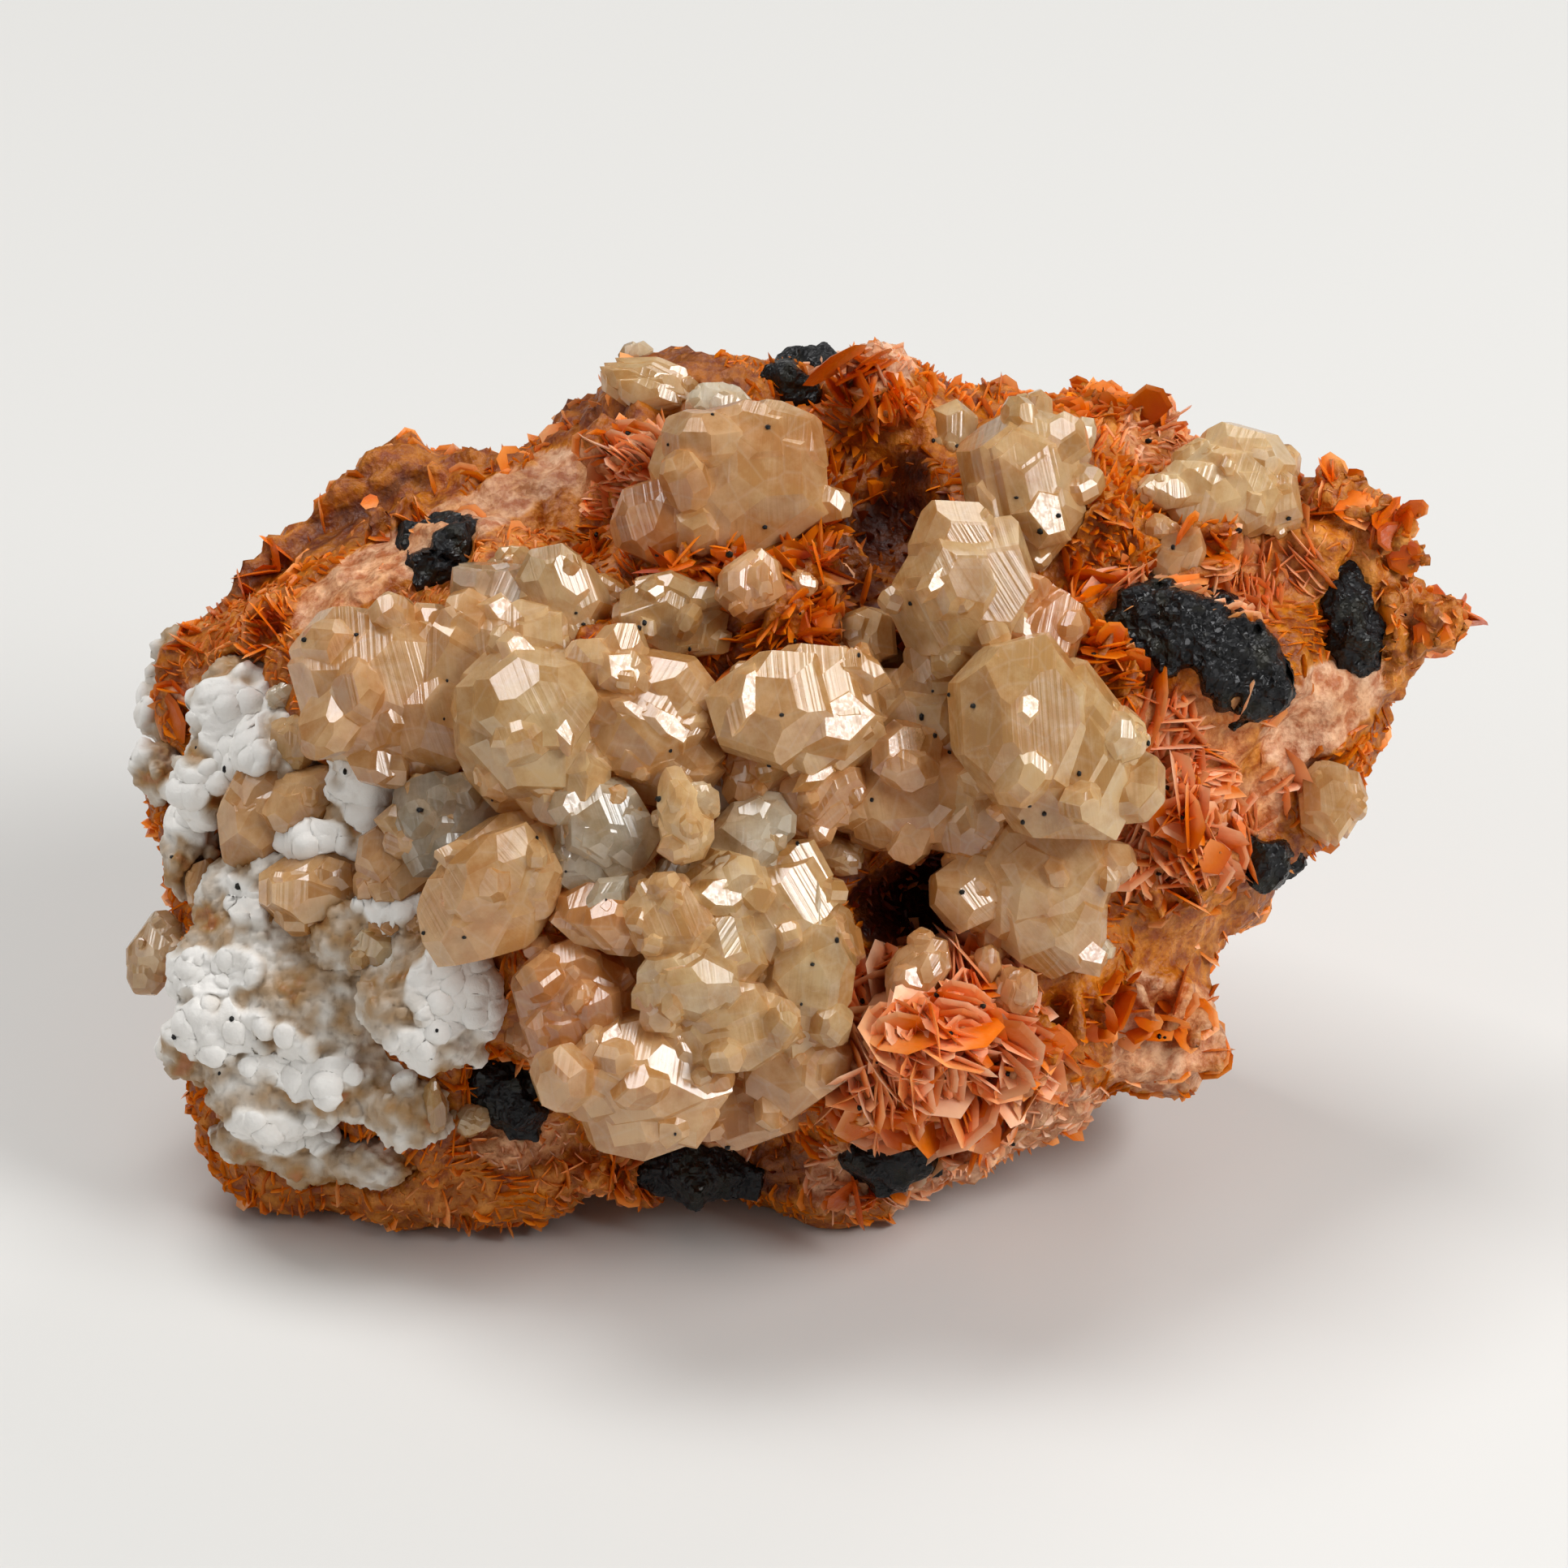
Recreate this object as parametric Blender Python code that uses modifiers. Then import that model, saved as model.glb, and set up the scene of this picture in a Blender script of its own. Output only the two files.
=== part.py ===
"""A hand specimen of barite with cerussite, 72 mm long, standing on a flat broken base.

The specimen is described as it is seen from its front. The picture plane stands upright to the line of
sight, which comes down at VIEW_ELEVATION. On that plane u runs to the right and v up, and w comes out of it
towards the eye. All three are in millimetres. Blender's own units stay metres, with +Z up.
"""

import math
import random
from collections import namedtuple

import bmesh
import bpy
from mathutils import Matrix, Vector, noise
from mathutils.bvhtree import BVHTree

MM = 0.001

# Driving dimensions, in millimetres and degrees.
FRONT_DEPTH = 11.0
BACK_DEPTH = 20.0
VIEW_ELEVATION = 30.0
VIEW_DISTANCE = 450.0
BASE_BELOW_CENTRE = 22.0
FACE_CENTRE_X = -1.2
FACE_CENTRE_Y = -1.0
GAP = 0.35
BLADE_THICKNESS = 0.55
SHEAF_ROOT_DEPTH = 2.6
FLAT_ANGLE = 2.0
LOST_VOLUME = 0.5
MOST_CORNER_GROWTH = 1.8
CUT_PASSES = 3
PROBE_SHARE = 0.9
PROBED_VERTICES = 120
MASS_FACES = 2000
BLADED_FACES = 4200
MATRIX_FACES = 4860
NODULE_SIZE = 8.0
NODULE_HEIGHT = 1.7
RUBBLE_SIZE = 4.5
RUBBLE_HEIGHT = 1.1
SEED = 72

# How the sphere that the mass starts from spreads over the outline, how its front swells,
# and how its relief fades towards the rim.
MASS_SUBDIVISIONS = 5
SPREAD_POWER = 0.62
SWELL_POWER = 2.6
FADE_POWER = 8
SIGHT_REACH = 60.0
NOISE_FALL = 0.9
NOISE_STEP = 2.0
RUBBLE_SEED = 8.7
GALENA_SEED = 5.3
CUT_MERGE = 0.002

# A slanting line, and how far past a face it goes on, by which a point is found inside or outside a solid.
INSIDE_LINE = Vector((0.31, 0.22, 0.92))
INSIDE_STEP = 0.001

# The outline of the barite mass on the picture plane, clockwise from its left spur.
OUTLINE = [
    (-35.6, 8.6), (-34.4, 4.0), (-35.0, 1.8), (-33.6, -1.6), (-33.0, -6.6), (-32.6, -9.8),
    (-31.6, -12.6), (-33.4, -13.9), (-31.4, -17.2), (-29.6, -20.2), (-25.2, -22.9), (-20.6, -24.0),
    (-14.2, -22.9), (-9.6, -21.9), (-3.8, -21.8), (2.4, -23.0), (5.0, -22.4), (8.2, -23.7),
    (9.8, -23.2), (12.0, -20.8), (16.6, -18.9), (17.5, -16.6), (20.7, -16.6), (22.3, -15.2),
    (23.4, -13.2), (22.7, -11.2), (23.4, -8.6), (26.0, -6.7), (28.1, -3.4), (31.4, 3.2),
    (33.4, 5.1), (35.4, 7.2), (36.0, 9.2), (35.4, 11.6), (34.3, 14.2), (33.0, 16.0),
    (29.9, 17.3), (27.7, 16.4), (26.4, 18.6), (22.0, 19.9), (17.0, 21.7), (14.6, 20.8),
    (12.0, 21.5), (8.0, 22.0), (4.8, 23.6), (1.5, 23.4), (-3.8, 23.5), (-8.2, 23.4),
    (-10.8, 22.1), (-13.2, 19.9), (-13.4, 18.2), (-14.2, 17.5), (-19.0, 18.4), (-20.8, 19.5),
    (-23.4, 19.5), (-26.5, 17.1), (-29.1, 14.9), (-31.1, 13.4), (-32.4, 10.8), (-33.6, 8.8),
]

# How far the rim of the mass stands before the picture plane, by its bearing round the outline in degrees.
RIM_DEPTH = [
    (-180, -5.0), (-150, -3.0), (-120, -2.0), (-90, -2.0), (-60, -2.0), (-20, -3.0),
    (0, -3.0), (30, -4.0), (60, -5.0), (90, -6.5), (110, -8.5), (125, -11.0), (150, -11.0), (180, -5.0),
]

# Hollows and swellings of the front: place, half width, half height, rise and the bearing of its long side.
Relief = namedtuple("Relief", "u v across up rise bearing")
FRONT_RELIEF = [
    Relief(7.6, -6.2, 3.2, 2.6, -13.0, 0),
    Relief(4.6, 13.6, 2.6, 4.4, -7.0, 0),
    Relief(6.2, 6.0, 1.8, 2.0, -6.0, 0),
    Relief(-3.0, 4.8, 1.3, 1.8, -4.0, 0),
    Relief(-15.1, -16.2, 1.9, 2.4, -6.0, 0),
    Relief(-18.4, 11.6, 1.3, 2.2, -3.0, 0),
    Relief(-24.0, 13.4, 11.0, 1.7, -6.5, 31),
    Relief(-25.0, 10.0, 9.0, 1.9, 4.0, 31),
    Relief(-6.0, -19.4, 11.0, 1.3, -4.0, -2),
    Relief(-12.0, 1.5, 8.0, 7.0, 2.5, 0),
    Relief(-5.0, -12.0, 8.0, 6.0, 3.0, 0),
    Relief(10.5, -14.6, 6.0, 4.0, 4.0, 0),
    Relief(23.0, 5.5, 6.0, 5.0, 2.5, 0),
    Relief(21.5, -3.0, 4.0, 4.5, 2.0, 0),
    Relief(31.0, 13.0, 3.6, 3.4, 2.0, 0),
    Relief(-29.0, -6.0, 5.0, 7.0, 2.0, 0),
    Relief(14.5, 20.0, 4.0, 2.4, 1.5, 0),
    Relief(27.0, 13.4, 1.6, 4.0, -2.5, -20),
]

# Broken faces of the back and the sides: outward direction as (right, up, to the eye) and distance.
BREAKS = [
    ((-0.52, 0.30, -0.80), 21.5), ((0.55, 0.28, -0.79), 21.0), ((0.02, 0.78, -0.63), 23.0),
    ((0.10, -0.25, -0.96), 19.5), ((-0.82, -0.25, -0.52), 31.5), ((0.86, -0.22, -0.46), 31.5),
    ((-0.35, 0.86, 0.10), 25.5), ((0.30, -0.84, -0.45), 22.0),
]
BREAK_FLATNESS = 0.85

# Sheaves of barite blades that stand clear of the mass: place, blades, blade radius, bearing of the spine.
Sheaf = namedtuple("Sheaf", "u v blades radius bearing fan")
FRONT_SHEAVES = [
    Sheaf(6.6, -14.4, 7, 3.3, 120, 120),
    Sheaf(9.6, -17.2, 5, 3.2, 20, 100),
    Sheaf(12.6, -14.2, 6, 2.9, 70, 130),
    Sheaf(10.2, -11.4, 4, 2.6, 150, 110),
    Sheaf(16.2, -12.6, 4, 2.8, 100, 90),
    Sheaf(-1.4, 9.6, 7, 2.6, 80, 130),
    Sheaf(1.8, 11.0, 5, 2.7, 110, 110),
    Sheaf(-4.8, 11.6, 3, 2.4, 95, 80),
    Sheaf(20.8, -0.6, 6, 2.5, 30, 130),
    Sheaf(22.6, -4.6, 6, 2.3, 130, 130),
    Sheaf(18.9, 12.9, 5, 2.3, 60, 120),
    Sheaf(22.6, 11.6, 5, 2.3, 0, 120),
    Sheaf(-8.4, 17.8, 5, 2.1, 70, 60),
    Sheaf(-27.4, 8.6, 5, 2.0, 40, 110),
    Sheaf(-20.6, 13.6, 4, 2.1, 100, 110),
    Sheaf(17.4, 19.8, 5, 2.2, 100, 120),
    Sheaf(31.8, 14.4, 5, 2.4, 50, 130),
    Sheaf(34.0, 8.4, 5, 2.4, 100, 130),
    Sheaf(21.0, -12.4, 5, 2.4, 40, 120),
    Sheaf(5.4, -21.4, 4, 2.0, 90, 110),
    Sheaf(-9.0, -20.8, 4, 1.9, 60, 110),
    Sheaf(5.2, 20.8, 3, 2.2, 20, 60),
    Sheaf(16.4, 6.8, 3, 2.6, 65, 50),
    Sheaf(-13.0, 8.2, 2, 2.4, 125, 20),
]
BACK_SHEAVES = 12
BACK_SHEAF_BLADES = 4
BACK_SHEAF_RADIUS = 2.4
BACK_SHEAF_FAN = 120
BACK_MIDDLE_DEPTH = -6.0
BACK_TURN = 2.4
BACK_SPREAD = (1.1, 0.5)
BACK_TILT = 0.9
BACK_HEIGHTS = (0.375, -0.075)
BACK_REACH = 80.0
BLADE_SIDES = 6
BLADE_TAPER = 0.94
BLADE_THICKNESS_SPREAD = (0.9, 1.3)
BLADE_STRETCH = (0.75, 1.05)
BLADE_TURN = 0.5
BLADE_LEAN = 6
BLADE_SWING = 12
BLADE_RADIUS_SPREAD = (0.85, 1.1)
BLADE_RISE = 0.1

# Cerussite crystals: width and height as seen, depth as a share of the mean of both, how far the centre
# stands off the barite, and the turn about the line of sight.
Crystal = namedtuple("Crystal", "name u v width height depth stand turn")
CRYSTALS = [
    Crystal("summit", -2.0, 16.0, 8.8, 7.4, 0.60, 1.8, 0),
    Crystal("amber", -6.6, 14.0, 4.8, 4.4, 0.75, 1.2, 20),
    Crystal("ridge_top", 12.7, 15.8, 6.0, 7.4, 0.85, 2.4, 12),
    Crystal("ridge_middle", 9.8, 10.2, 7.2, 7.2, 0.85, 2.6, 30),
    Crystal("ridge_foot", 13.9, 8.0, 3.8, 4.2, 0.85, 1.6, -10),
    Crystal("freckled", 8.8, 4.3, 7.0, 6.2, 0.55, 1.6, 20),
    Crystal("barrel", 14.7, 1.5, 7.6, 8.9, 0.90, 3.8, 4),
    Crystal("barrel_bud", 18.0, 3.1, 2.6, 2.4, 0.9, 3.4, 0),
    Crystal("under_barrel", 13.9, -4.8, 8.0, 6.6, 0.75, 1.8, 35),
    Crystal("hollow_wall", 6.6, -0.6, 7.4, 5.6, 0.70, 0.8, 10),
    Crystal("hollow_step", 9.6, -1.9, 3.6, 4.2, 0.8, 1.8, 5),
    Crystal("keystone", 1.1, 3.8, 6.9, 6.2, 0.85, 3.2, 15),
    Crystal("keystone_bud", -1.9, 4.3, 2.8, 3.6, 0.8, 3.6, 10),
    Crystal("clear_tablet", -6.0, 8.9, 5.4, 3.6, 0.5, 1.6, -8),
    Crystal("milky_knob", -2.0, 10.6, 2.8, 3.2, 0.9, 2.6, 0),
    Crystal("smoky_bead", 4.5, 7.9, 2.9, 3.1, 0.9, 1.6, 0),
    Crystal("small_prism", -9.4, 6.2, 4.6, 3.0, 0.8, 2.4, -12),
    Crystal("left_block", -13.8, 2.8, 7.4, 8.4, 0.80, 2.4, 28),
    Crystal("left_block_cap", -14.2, 7.4, 5.0, 3.8, 0.8, 2.4, 10),
    Crystal("middle_block", -7.6, 3.1, 6.6, 5.8, 0.80, 2.0, -25),
    Crystal("rough_block", -21.4, 5.2, 8.8, 8.0, 0.75, 1.8, 15),
    Crystal("rough_shoulder", -17.6, 6.6, 4.4, 4.6, 0.85, 2.2, 0),
    Crystal("pale_slab", -12.2, 9.8, 5.0, 5.0, 0.6, 1.4, 20),
    Crystal("clear_wedge", -15.4, 9.9, 4.2, 3.2, 0.8, 1.8, -20),
    Crystal("water_clear", -18.4, -1.8, 5.2, 4.6, 0.7, 1.6, 10),
    Crystal("loaf", -15.6, -6.0, 8.4, 5.2, 0.75, 2.8, 42),
    Crystal("green_nodule", -9.9, -1.9, 4.4, 4.4, 0.8, 2.0, 20),
    Crystal("tooth", -5.3, -2.0, 2.6, 4.6, 1.0, 3.4, 6),
    Crystal("grey_bead", -1.8, -2.8, 3.6, 3.6, 0.85, 2.2, 0),
    Crystal("silver_patch", -10.2, -4.6, 4.2, 3.2, 0.7, 1.6, 0),
    Crystal("tan_step", -9.4, -7.2, 5.2, 3.4, 0.8, 2.6, -10),
    Crystal("spark", -6.2, -7.6, 4.0, 4.4, 0.85, 3.4, 25),
    Crystal("half_disc", -4.9, -10.8, 4.8, 3.4, 0.8, 3.6, 12),
    Crystal("spark_face", -3.0, -5.6, 4.0, 3.2, 0.9, 2.8, 10),
    Crystal("smoky_slab", -0.2, -6.8, 5.6, 5.2, 0.7, 1.8, 30),
    Crystal("smoky_column", 0.9, -10.8, 5.0, 6.0, 0.8, 2.0, -8),
    Crystal("wedge", -2.9, -13.2, 6.6, 4.4, 0.8, 2.6, 12),
    Crystal("lower_block", -8.1, -15.6, 8.6, 5.8, 0.80, 2.8, -4),
    Crystal("peach_block", -11.3, -11.2, 6.0, 5.4, 0.75, 2.0, 15),
    Crystal("lower_spur", 0.5, -15.0, 5.4, 5.2, 0.8, 2.4, 38),
    Crystal("lower_shade", -3.2, -16.8, 6.4, 3.4, 0.8, 1.0, 0),
    Crystal("peach_step", 2.2, -0.6, 5.0, 3.4, 0.8, 1.6, 20),
    Crystal("peach_bud", -1.6, 0.4, 3.0, 3.0, 0.9, 1.8, 0),
    Crystal("kidney", -28.2, -1.8, 4.4, 5.0, 0.75, 0.9, -10),
    Crystal("kidney_lobe", -25.8, -0.9, 4.0, 3.0, 0.8, 0.9, 20),
    Crystal("island", -25.0, -5.6, 4.8, 3.8, 0.75, 1.2, 0),
    Crystal("shore_block", -20.9, -4.5, 3.8, 3.8, 0.85, 1.2, 0),
    Crystal("islet", -31.0, -5.6, 2.4, 3.2, 0.8, 0.6, 15),
    Crystal("left_bead", -33.8, -9.2, 3.0, 3.2, 0.95, 0.4, 0),
    Crystal("upper_right_block", 23.8, 16.0, 5.6, 4.8, 0.85, 1.8, -15),
    Crystal("upper_right_side", 26.3, 15.4, 2.8, 3.6, 0.9, 1.4, 0),
    Crystal("upper_right_bead", 20.6, 15.7, 2.6, 2.0, 0.9, 1.6, 5),
    Crystal("hole_bud", 11.8, -8.0, 2.7, 2.8, 0.9, 1.8, 0),
    Crystal("shard", 7.3, -10.2, 2.6, 4.2, 0.7, 2.6, -28),
    Crystal("low_bead", 12.6, -11.2, 1.9, 2.3, 0.9, 2.4, 0),
    Crystal("striped_stub", 16.2, -8.9, 2.6, 1.9, 0.9, 0.8, -20),
    Crystal("top_bead", -3.6, 20.2, 2.9, 2.7, 0.9, 0.8, 0),
    Crystal("top_bud", 13.3, 19.9, 2.0, 2.1, 0.9, 0.8, 0),
    Crystal("pale_wedge", -3.4, -8.8, 4.6, 4.2, 0.8, 2.2, -30),
    Crystal("ochre_knob", 29.4, -0.8, 3.4, 4.6, 0.85, 0.6, 10),
]
CRYSTAL_STOCK = 4.0
CRYSTAL_PRISM_FACES = 6
CRYSTAL_CAP = 0.92
CRYSTAL_SIDE = 0.96
CRYSTAL_SLOPE_SHARE = 0.99
CRYSTAL_SLOPES = (36, 56)
CRYSTAL_FACE_TURN = 0.15
CRYSTAL_TILT = 0.35
CRYSTAL_ROOT = 1.0
CRYSTAL_UNEVENNESS = 0.16
CRYSTAL_MERGE = 0.02

# Lobes of the white crust: place, half width and half height.
Lobe = namedtuple("Lobe", "name u v across up")
CRUST_LOBES = [
    Lobe("shoulder", -29.4, 4.0, 2.4, 3.0), Lobe("shoulder_foot", -27.0, 1.6, 2.2, 2.0),
    Lobe("shoulder_left", -30.8, 0.4, 1.7, 2.4), Lobe("tongue", -22.4, 1.4, 1.8, 2.6),
    Lobe("tongue_foot", -22.8, -2.0, 2.1, 2.1), Lobe("bank_top", -24.6, -3.0, 2.0, 1.5),
    Lobe("cliff", -31.8, -3.8, 1.6, 2.8), Lobe("cliff_foot", -29.4, -6.2, 2.2, 2.4),
    Lobe("bank_left", -27.6, -4.4, 1.8, 1.8), Lobe("bank", -27.2, -8.6, 3.2, 2.4),
    Lobe("bank_middle", -22.8, -8.0, 2.8, 2.0), Lobe("bank_right", -20.4, -7.0, 2.2, 1.8),
    Lobe("slope_left", -30.0, -9.6, 2.8, 2.4), Lobe("slope", -24.8, -11.6, 4.0, 2.9),
    Lobe("slope_foot", -29.2, -12.6, 3.2, 2.4), Lobe("outer_tip", -31.6, -14.4, 2.0, 1.6),
    Lobe("field_left", -27.6, -16.0, 3.6, 2.7), Lobe("field", -23.2, -15.6, 3.2, 2.8),
    Lobe("lip", -18.6, -10.2, 2.2, 2.2), Lobe("lip_right", -16.8, -11.4, 1.5, 1.8),
    Lobe("lip_foot", -18.2, -13.4, 2.2, 2.0), Lobe("lip_left", -20.6, -11.8, 2.4, 2.2),
    Lobe("hem_left", -28.8, -19.0, 2.2, 1.5), Lobe("hem", -25.4, -19.8, 2.6, 1.8),
    Lobe("hem_right", -22.0, -20.4, 2.4, 1.3), Lobe("hem_top", -20.0, -17.8, 2.2, 1.8),
    Lobe("spur", -34.6, 7.0, 1.3, 2.2), Lobe("spur_middle", -34.0, 4.0, 1.3, 2.0),
    Lobe("spur_foot", -33.6, 0.6, 1.2, 1.8),
]
CRUST_DEPTH = 1.7
CRUST_VOXEL = 0.55
CRUST_FACES = 690
LUMP_SUBDIVISIONS = 3

# Galena lumps set into the barite: place, half width, half height and bearing.
Lump = namedtuple("Lump", "name u v across up bearing")
GALENA = [
    Lump("right", 22.2, 7.2, 5.4, 3.0, -32),
    Lump("far_right", 30.4, 9.2, 1.8, 3.0, 0),
    Lump("lower_right", 25.8, -3.6, 1.8, 1.5, 30),
    Lump("top", 1.4, 21.4, 2.5, 1.7, -15),
    Lump("left", -18.5, 12.4, 1.9, 2.1, -35),
    Lump("pocket", -14.8, -16.4, 2.2, 2.2, 0),
    Lump("base_left", -4.6, -20.9, 3.4, 1.1, 0),
    Lump("base_right", 5.8, -20.2, 2.4, 1.1, -5),
]
GALENA_DEPTH = 1.9
GALENA_SINK = 0.5
GALENA_STEP_SIZE = 1.6
GALENA_STEP_HEIGHT = 0.4
GALENA_FACES = 88

# Surface of each material: colour, roughness and metallic.
Look = namedtuple("Look", "colour roughness metallic")
LOOKS = {
    "barite": Look((0.62, 0.30, 0.14), 0.45, 0.0),
    "cerussite": Look((0.66, 0.47, 0.27), 0.15, 0.0),
    "white_crust": Look((0.78, 0.76, 0.72), 0.7, 0.0),
    "galena": Look((0.05, 0.05, 0.055), 0.4, 0.6),
}

EYE = Vector((0.0, -math.cos(math.radians(VIEW_ELEVATION)), math.sin(math.radians(VIEW_ELEVATION))))
RIGHT = Vector((1.0, 0.0, 0.0))
UP = Vector((0.0, math.sin(math.radians(VIEW_ELEVATION)), math.cos(math.radians(VIEW_ELEVATION))))


def clear_scene():
    """Remove every object, so that only the specimen is left at the end."""
    for obj in list(bpy.data.objects):
        bpy.data.objects.remove(obj, do_unlink=True)


def new_collection(name):
    """An empty collection of the scene."""
    collection = bpy.data.collections.new(name)
    bpy.context.scene.collection.children.link(collection)
    return collection


def face_point(u, v, w):
    """The point, in metres, that is seen at (u, v) and stands w before the picture plane."""
    nearer = 1.0 - w / VIEW_DISTANCE
    centre = Vector((FACE_CENTRE_X, FACE_CENTRE_Y, BASE_BELOW_CENTRE))
    return (centre + RIGHT * u * nearer + UP * v * nearer + EYE * w) * MM


def bearing_of(u, v):
    """Angle of a place on the picture plane, counted from the right, in radians."""
    return math.atan2(v, u)


def between(table, value):
    """Read a table of (key, number) pairs at value, straight between its rows."""
    for (low, first), (high, last) in zip(table, table[1:]):
        if low <= value <= high:
            share = (value - low) / (high - low)
            return first + (last - first) * share
    return table[-1][1]


def outline_radius(angle):
    """How far the outline lies from the middle of the picture plane at this bearing."""
    du, dv = math.cos(angle), math.sin(angle)
    farthest = 0.0
    for (u0, v0), (u1, v1) in zip(OUTLINE, OUTLINE[1:] + OUTLINE[:1]):
        eu, ev = u1 - u0, v1 - v0
        det = du * -ev + eu * dv
        if abs(det) < 1e-9:
            continue
        reach = (u0 * -ev + eu * v0) / det
        share = (du * v0 - dv * u0) / det
        if reach > 0 and -1e-6 <= share <= 1 + 1e-6:
            farthest = max(farthest, reach)
    return farthest


def relief_at(u, v):
    """The rise of the front's hollows and swellings at (u, v)."""
    total = 0.0
    for r in FRONT_RELIEF:
        turn = math.radians(r.bearing)
        du, dv = u - r.u, v - r.v
        along = (du * math.cos(turn) + dv * math.sin(turn)) / r.across
        beside = (dv * math.cos(turn) - du * math.sin(turn)) / r.up
        total += r.rise * math.exp(-(along * along + beside * beside))
    return total


def mass_vertex(direction):
    """Where a point of the unit sphere goes on the barite mass."""
    angle = bearing_of(direction.x, direction.y)
    flat = math.hypot(direction.x, direction.y)
    share = flat ** SPREAD_POWER
    reach = outline_radius(angle) * share
    u, v = reach * math.cos(angle), reach * math.sin(angle)
    rim = between(RIM_DEPTH, math.degrees(angle)) * share * share
    swell = math.sqrt(max(0.0, 1.0 - share ** SWELL_POWER))
    if direction.z > 0:
        w = rim + FRONT_DEPTH * swell + relief_at(u, v) * (1.0 - share ** FADE_POWER)
    else:
        w = rim - BACK_DEPTH * swell
    place = Vector((u, v, w))
    for outward, distance in BREAKS:
        outward = Vector(outward).normalized()
        beyond = place.dot(outward) - distance
        if beyond > 0:
            place -= outward * beyond * BREAK_FLATNESS
    return place


def from_face_centre(point):
    """The point in millimetres from the middle of the picture plane, along the world's own axes."""
    return (point - face_point(0, 0, 0)) / MM


def roughness(point, size, octaves, seed):
    """Fractal noise from about -1 to 1 with lumps of this size, in millimetres."""
    place = from_face_centre(point) / size
    return noise.fractal(place + Vector((seed, -seed, 2 * seed)), NOISE_FALL, NOISE_STEP, octaves)


def mesh_object(name, bm, collection):
    """Make an object of bm, put it in the collection and free bm."""
    mesh = bpy.data.meshes.new(name)
    bm.to_mesh(mesh)
    bm.free()
    obj = bpy.data.objects.new(name, mesh)
    collection.objects.link(obj)
    return obj


def apply_modifiers(obj):
    """Give the object its evaluated mesh and drop its modifiers."""
    graph = bpy.context.evaluated_depsgraph_get()
    graph.update()
    mesh = bpy.data.meshes.new_from_object(obj.evaluated_get(graph))
    obj.modifiers.clear()
    old = obj.data
    obj.data = mesh
    bpy.data.meshes.remove(old)


def closed_volume(mesh):
    """The volume of a closed mesh, or None where it has an open or a branching edge."""
    bm = bmesh.new()
    bm.from_mesh(mesh)
    whole = all(len(edge.link_faces) == 2 for edge in bm.edges)
    volume = bm.calc_volume(signed=True) if whole else None
    bm.free()
    return volume


def still_filled(mesh, cutter):
    """Whether the mesh still has material where a convex or a rounded cutter should have removed it."""
    bm = bmesh.new()
    bm.from_mesh(mesh)
    tree = BVHTree.FromBMesh(bm)
    bm.free()
    middle = middle_of(cutter)
    probes = [middle.lerp(vert.co, PROBE_SHARE) for vert in cutter.data.vertices]
    return any(holds(tree, probe) for probe in probes)


def sound(mesh, other, operation, least):
    """Whether a Boolean's result is closed, has lost no more than it should, and was really cut."""
    volume = closed_volume(mesh)
    if volume is None or volume < least - LOST_VOLUME * MM ** 3:
        return False
    small = len(other.data.vertices) < PROBED_VERTICES
    return not (operation == "DIFFERENCE" and small and still_filled(mesh, other))


def boolean(target, other, operation, self_overlap=False):
    """Join other to target, or cut it out of target. Where the exact solver fails, MANIFOLD follows."""
    least = closed_volume(target.data)
    if operation == "DIFFERENCE":
        least -= closed_volume(other.data)
    for solver in ("EXACT", "MANIFOLD"):
        modifier = target.modifiers.new(operation.title(), "BOOLEAN")
        modifier.operation = operation
        modifier.object = other
        modifier.solver = solver
        if solver == "EXACT":
            modifier.use_self = self_overlap
        graph = bpy.context.evaluated_depsgraph_get()
        graph.update()
        mesh = bpy.data.meshes.new_from_object(target.evaluated_get(graph))
        target.modifiers.clear()
        if sound(mesh, other, operation, least):
            break
    old = target.data
    target.data = mesh
    bpy.data.meshes.remove(old)


def boxes_meet(one, other):
    """Whether the bounding boxes of two objects overlap."""
    for axis in range(3):
        lows = [min(corner[axis] for corner in obj.bound_box) for obj in (one, other)]
        highs = [max(corner[axis] for corner in obj.bound_box) for obj in (one, other)]
        if max(lows) > min(highs):
            return False
    return True


def cut_sockets(target, cutters):
    """Cut every cutter that reaches the target out of it, and leave the cutters for other targets."""
    for cutter in cutters:
        if boxes_meet(target, cutter):
            boolean(target, cutter, "DIFFERENCE")


def grown_copy(obj, gap, collection):
    """A copy whose faces stand gap outside the object's own, to cut a socket with clearance."""
    bm = bmesh.new()
    bm.from_mesh(obj.data)
    bm.normal_update()
    steps = [(v, v.normal * gap * MM * min(v.calc_shell_factor(), MOST_CORNER_GROWTH)) for v in bm.verts]
    for vert, step in steps:
        vert.co += step
    return hide_as_cutter(mesh_object(obj.name + "_socket", bm, collection))


def hide_as_cutter(obj):
    """Show the object as wire and leave it out of renders."""
    obj.hide_render = True
    obj.display_type = "WIRE"
    return obj


def islands(bm):
    """The separate bodies of a mesh, each as its faces, the one with most faces first."""
    left, found = set(bm.faces), []
    while left:
        body, reach = set(), [left.pop()]
        while reach:
            face = reach.pop()
            body.add(face)
            for edge in face.edges:
                for other in edge.link_faces:
                    if other in left:
                        left.discard(other)
                        reach.append(other)
        found.append(body)
    return sorted(found, key=len, reverse=True)


def keep_largest_body(obj):
    """Delete all but the largest of the object's separate bodies."""
    bm = bmesh.new()
    bm.from_mesh(obj.data)
    for body in islands(bm)[1:]:
        bmesh.ops.delete(bm, geom=list(body), context="FACES")
    bm.to_mesh(obj.data)
    bm.free()


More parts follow.
